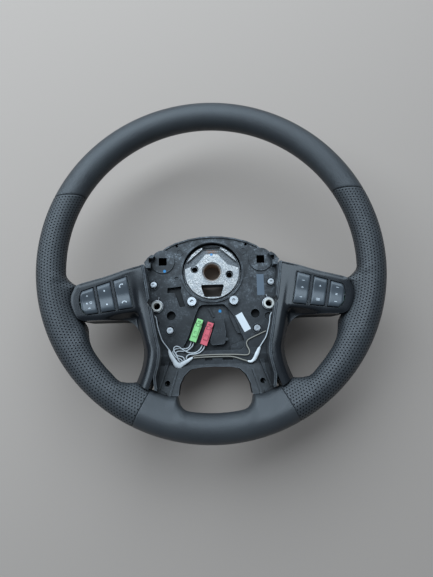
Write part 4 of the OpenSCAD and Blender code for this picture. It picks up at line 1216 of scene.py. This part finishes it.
def metal(name, colour, rough, grain_scale=900, grain=0.2):
    mat, tree, shader = finish(name, colour, rough, metallic=0.9)
    where = place_of(tree)
    patch = noise(tree, where, 120, 5)
    tree.links.new(blend_colours(tree, spread(tree, patch, 0.3, 0.7),
                                 tuple(c * 0.7 for c in colour), colour),
                   shader.inputs["Base Color"])
    tree.links.new(spread(tree, patch, 0.3, 0.7, rough + 0.12, rough - 0.05),
                   shader.inputs["Roughness"])
    bump(tree, shader, noise(tree, where, grain_scale, 3), grain, 0.0003)
    return mat


# %% Who wears what
cast_finish = cast_metal()
steel_finish = metal("fastener_steel", (0.74, 0.75, 0.77), 0.32)
spring_finish = metal("spring_steel", (0.62, 0.62, 0.64), 0.25)

by_node = {"armature": cast_finish, "rim_foam": foam_finish, "hub_carrier": carrier_finish,
    "rear_cover": rear_finish, "carrier_bolts": steel_finish, "carrier_screws": steel_finish,
    "board_screws": steel_finish, "airbag_bushes": bush_finish,
    "bush_springs": spring_finish, "contact_block": carrier_finish,
    "connector_green": green_finish, "connector_red": red_finish,
    "sleeve_left": white_finish, "sleeve_right": white_finish,
    "harness_left": white_finish, "harness_right": white_finish,
    "harness_bottom": beige_finish, "harness_branch": beige_finish,
    "data_label": label_finish, "date_label": grey_label_finish}
paired = {"trim": trim_finish, "spoke_back": rear_finish, "housing": cover_finish,
    "keypad": silicone_finish, "circuit_board": board_finish, "rocker": rocker_finish}
for name in nodes:
    for start, material in paired.items():
        if name.startswith(start):
            by_node[name] = material
for name, material in by_node.items():
    dress(nodes[name], material)
# Faces down in the keyhole and the round recesses take the painted shade
KEYHOLE = [(-43, -20), (-63, -22), (-63.5, -29), (-53, -30), (-46, -50), (-38, -49), (-44, -27)]
carrier_mesh = nodes["hub_carrier"].data
carrier_mesh.materials.append(recess_shade_finish)
centres = np.array([face.center for face in carrier_mesh.polygons]) / MM
deep = within(centres[:, :2], KEYHOLE) & (centres[:, 2] < 27.4)
for side in (1, -1):
    for (px, py), radius in (((58.2, -61.2), 6.6), ((49, 38), 2.3), ((61.6, -152), 4.2)):
        deep |= (np.hypot(centres[:, 0] - side * px, centres[:, 1] - py) < radius)
deep &= centres[:, 2] < 27.6
for face, dark in zip(carrier_mesh.polygons, deep):
    face.material_index = int(dark)
print("faces in deep recesses", int(deep.sum()))
for group, material in ((wires.values(), white_finish), (trims, trim_finish),
                        (housings, cover_finish), (rockers.values(), rocker_finish),
                        (printed, symbol_finish), (sleeves, tape_finish), ([foam], foam_finish)):
    for piece in group:
        dress(piece, material)
for name, lead in leads.items():
    dress(lead, beige_finish if name in BEIGE_LEADS else white_finish)
print("finishes", len(bpy.data.materials))

# %% [markdown]
# The light is plain: a pale floor, an even world and one large soft lamp above the
# top left of the wheel, so the upper faces carry the highlights as they do outdoors.

# %% Floor and light
floor_mesh = bmesh.new()
bmesh.ops.create_grid(floor_mesh, x_segments=1, y_segments=1, size=6)
floor = as_object("floor", floor_mesh)
floor.location = (0, 0, cad_box[0][2])
floor_finish, tree, shader = finish("floor", (0.40, 0.33, 0.285), 0.9, specular=0.1)
bump(tree, shader, noise(tree, place_of(tree), 60, 2), 0.02, 0.0005)
dress(floor, floor_finish)

world = bpy.data.worlds.new("studio")
bpy.context.scene.world = world
world.use_nodes = True
world.node_tree.nodes["Background"].inputs["Color"].default_value = (0.70, 0.85, 1.0, 1)
world.node_tree.nodes["Background"].inputs["Strength"].default_value = 0.28


def lamp(name, power, size, place, target=(0, 0, 0.05), colour=(1, 1, 1)):
    data = bpy.data.lights.new(name, "AREA")
    data.energy = power
    data.shape = "RECTANGLE"
    data.size, data.size_y = size
    data.color = colour
    thing = bpy.data.objects.new(name, data)
    bpy.context.scene.collection.objects.link(thing)
    thing.location = place
    aim = Vector(target) - Vector(place)
    thing.rotation_euler = aim.to_track_quat("-Z", "Y").to_euler()
    return thing


lamp("sky_lamp", 78, (3.4, 1.6), (-0.5, 1.0, 1.35), colour=(0.70, 0.86, 1.0))
bpy.context.scene.view_settings.view_transform = "Standard"
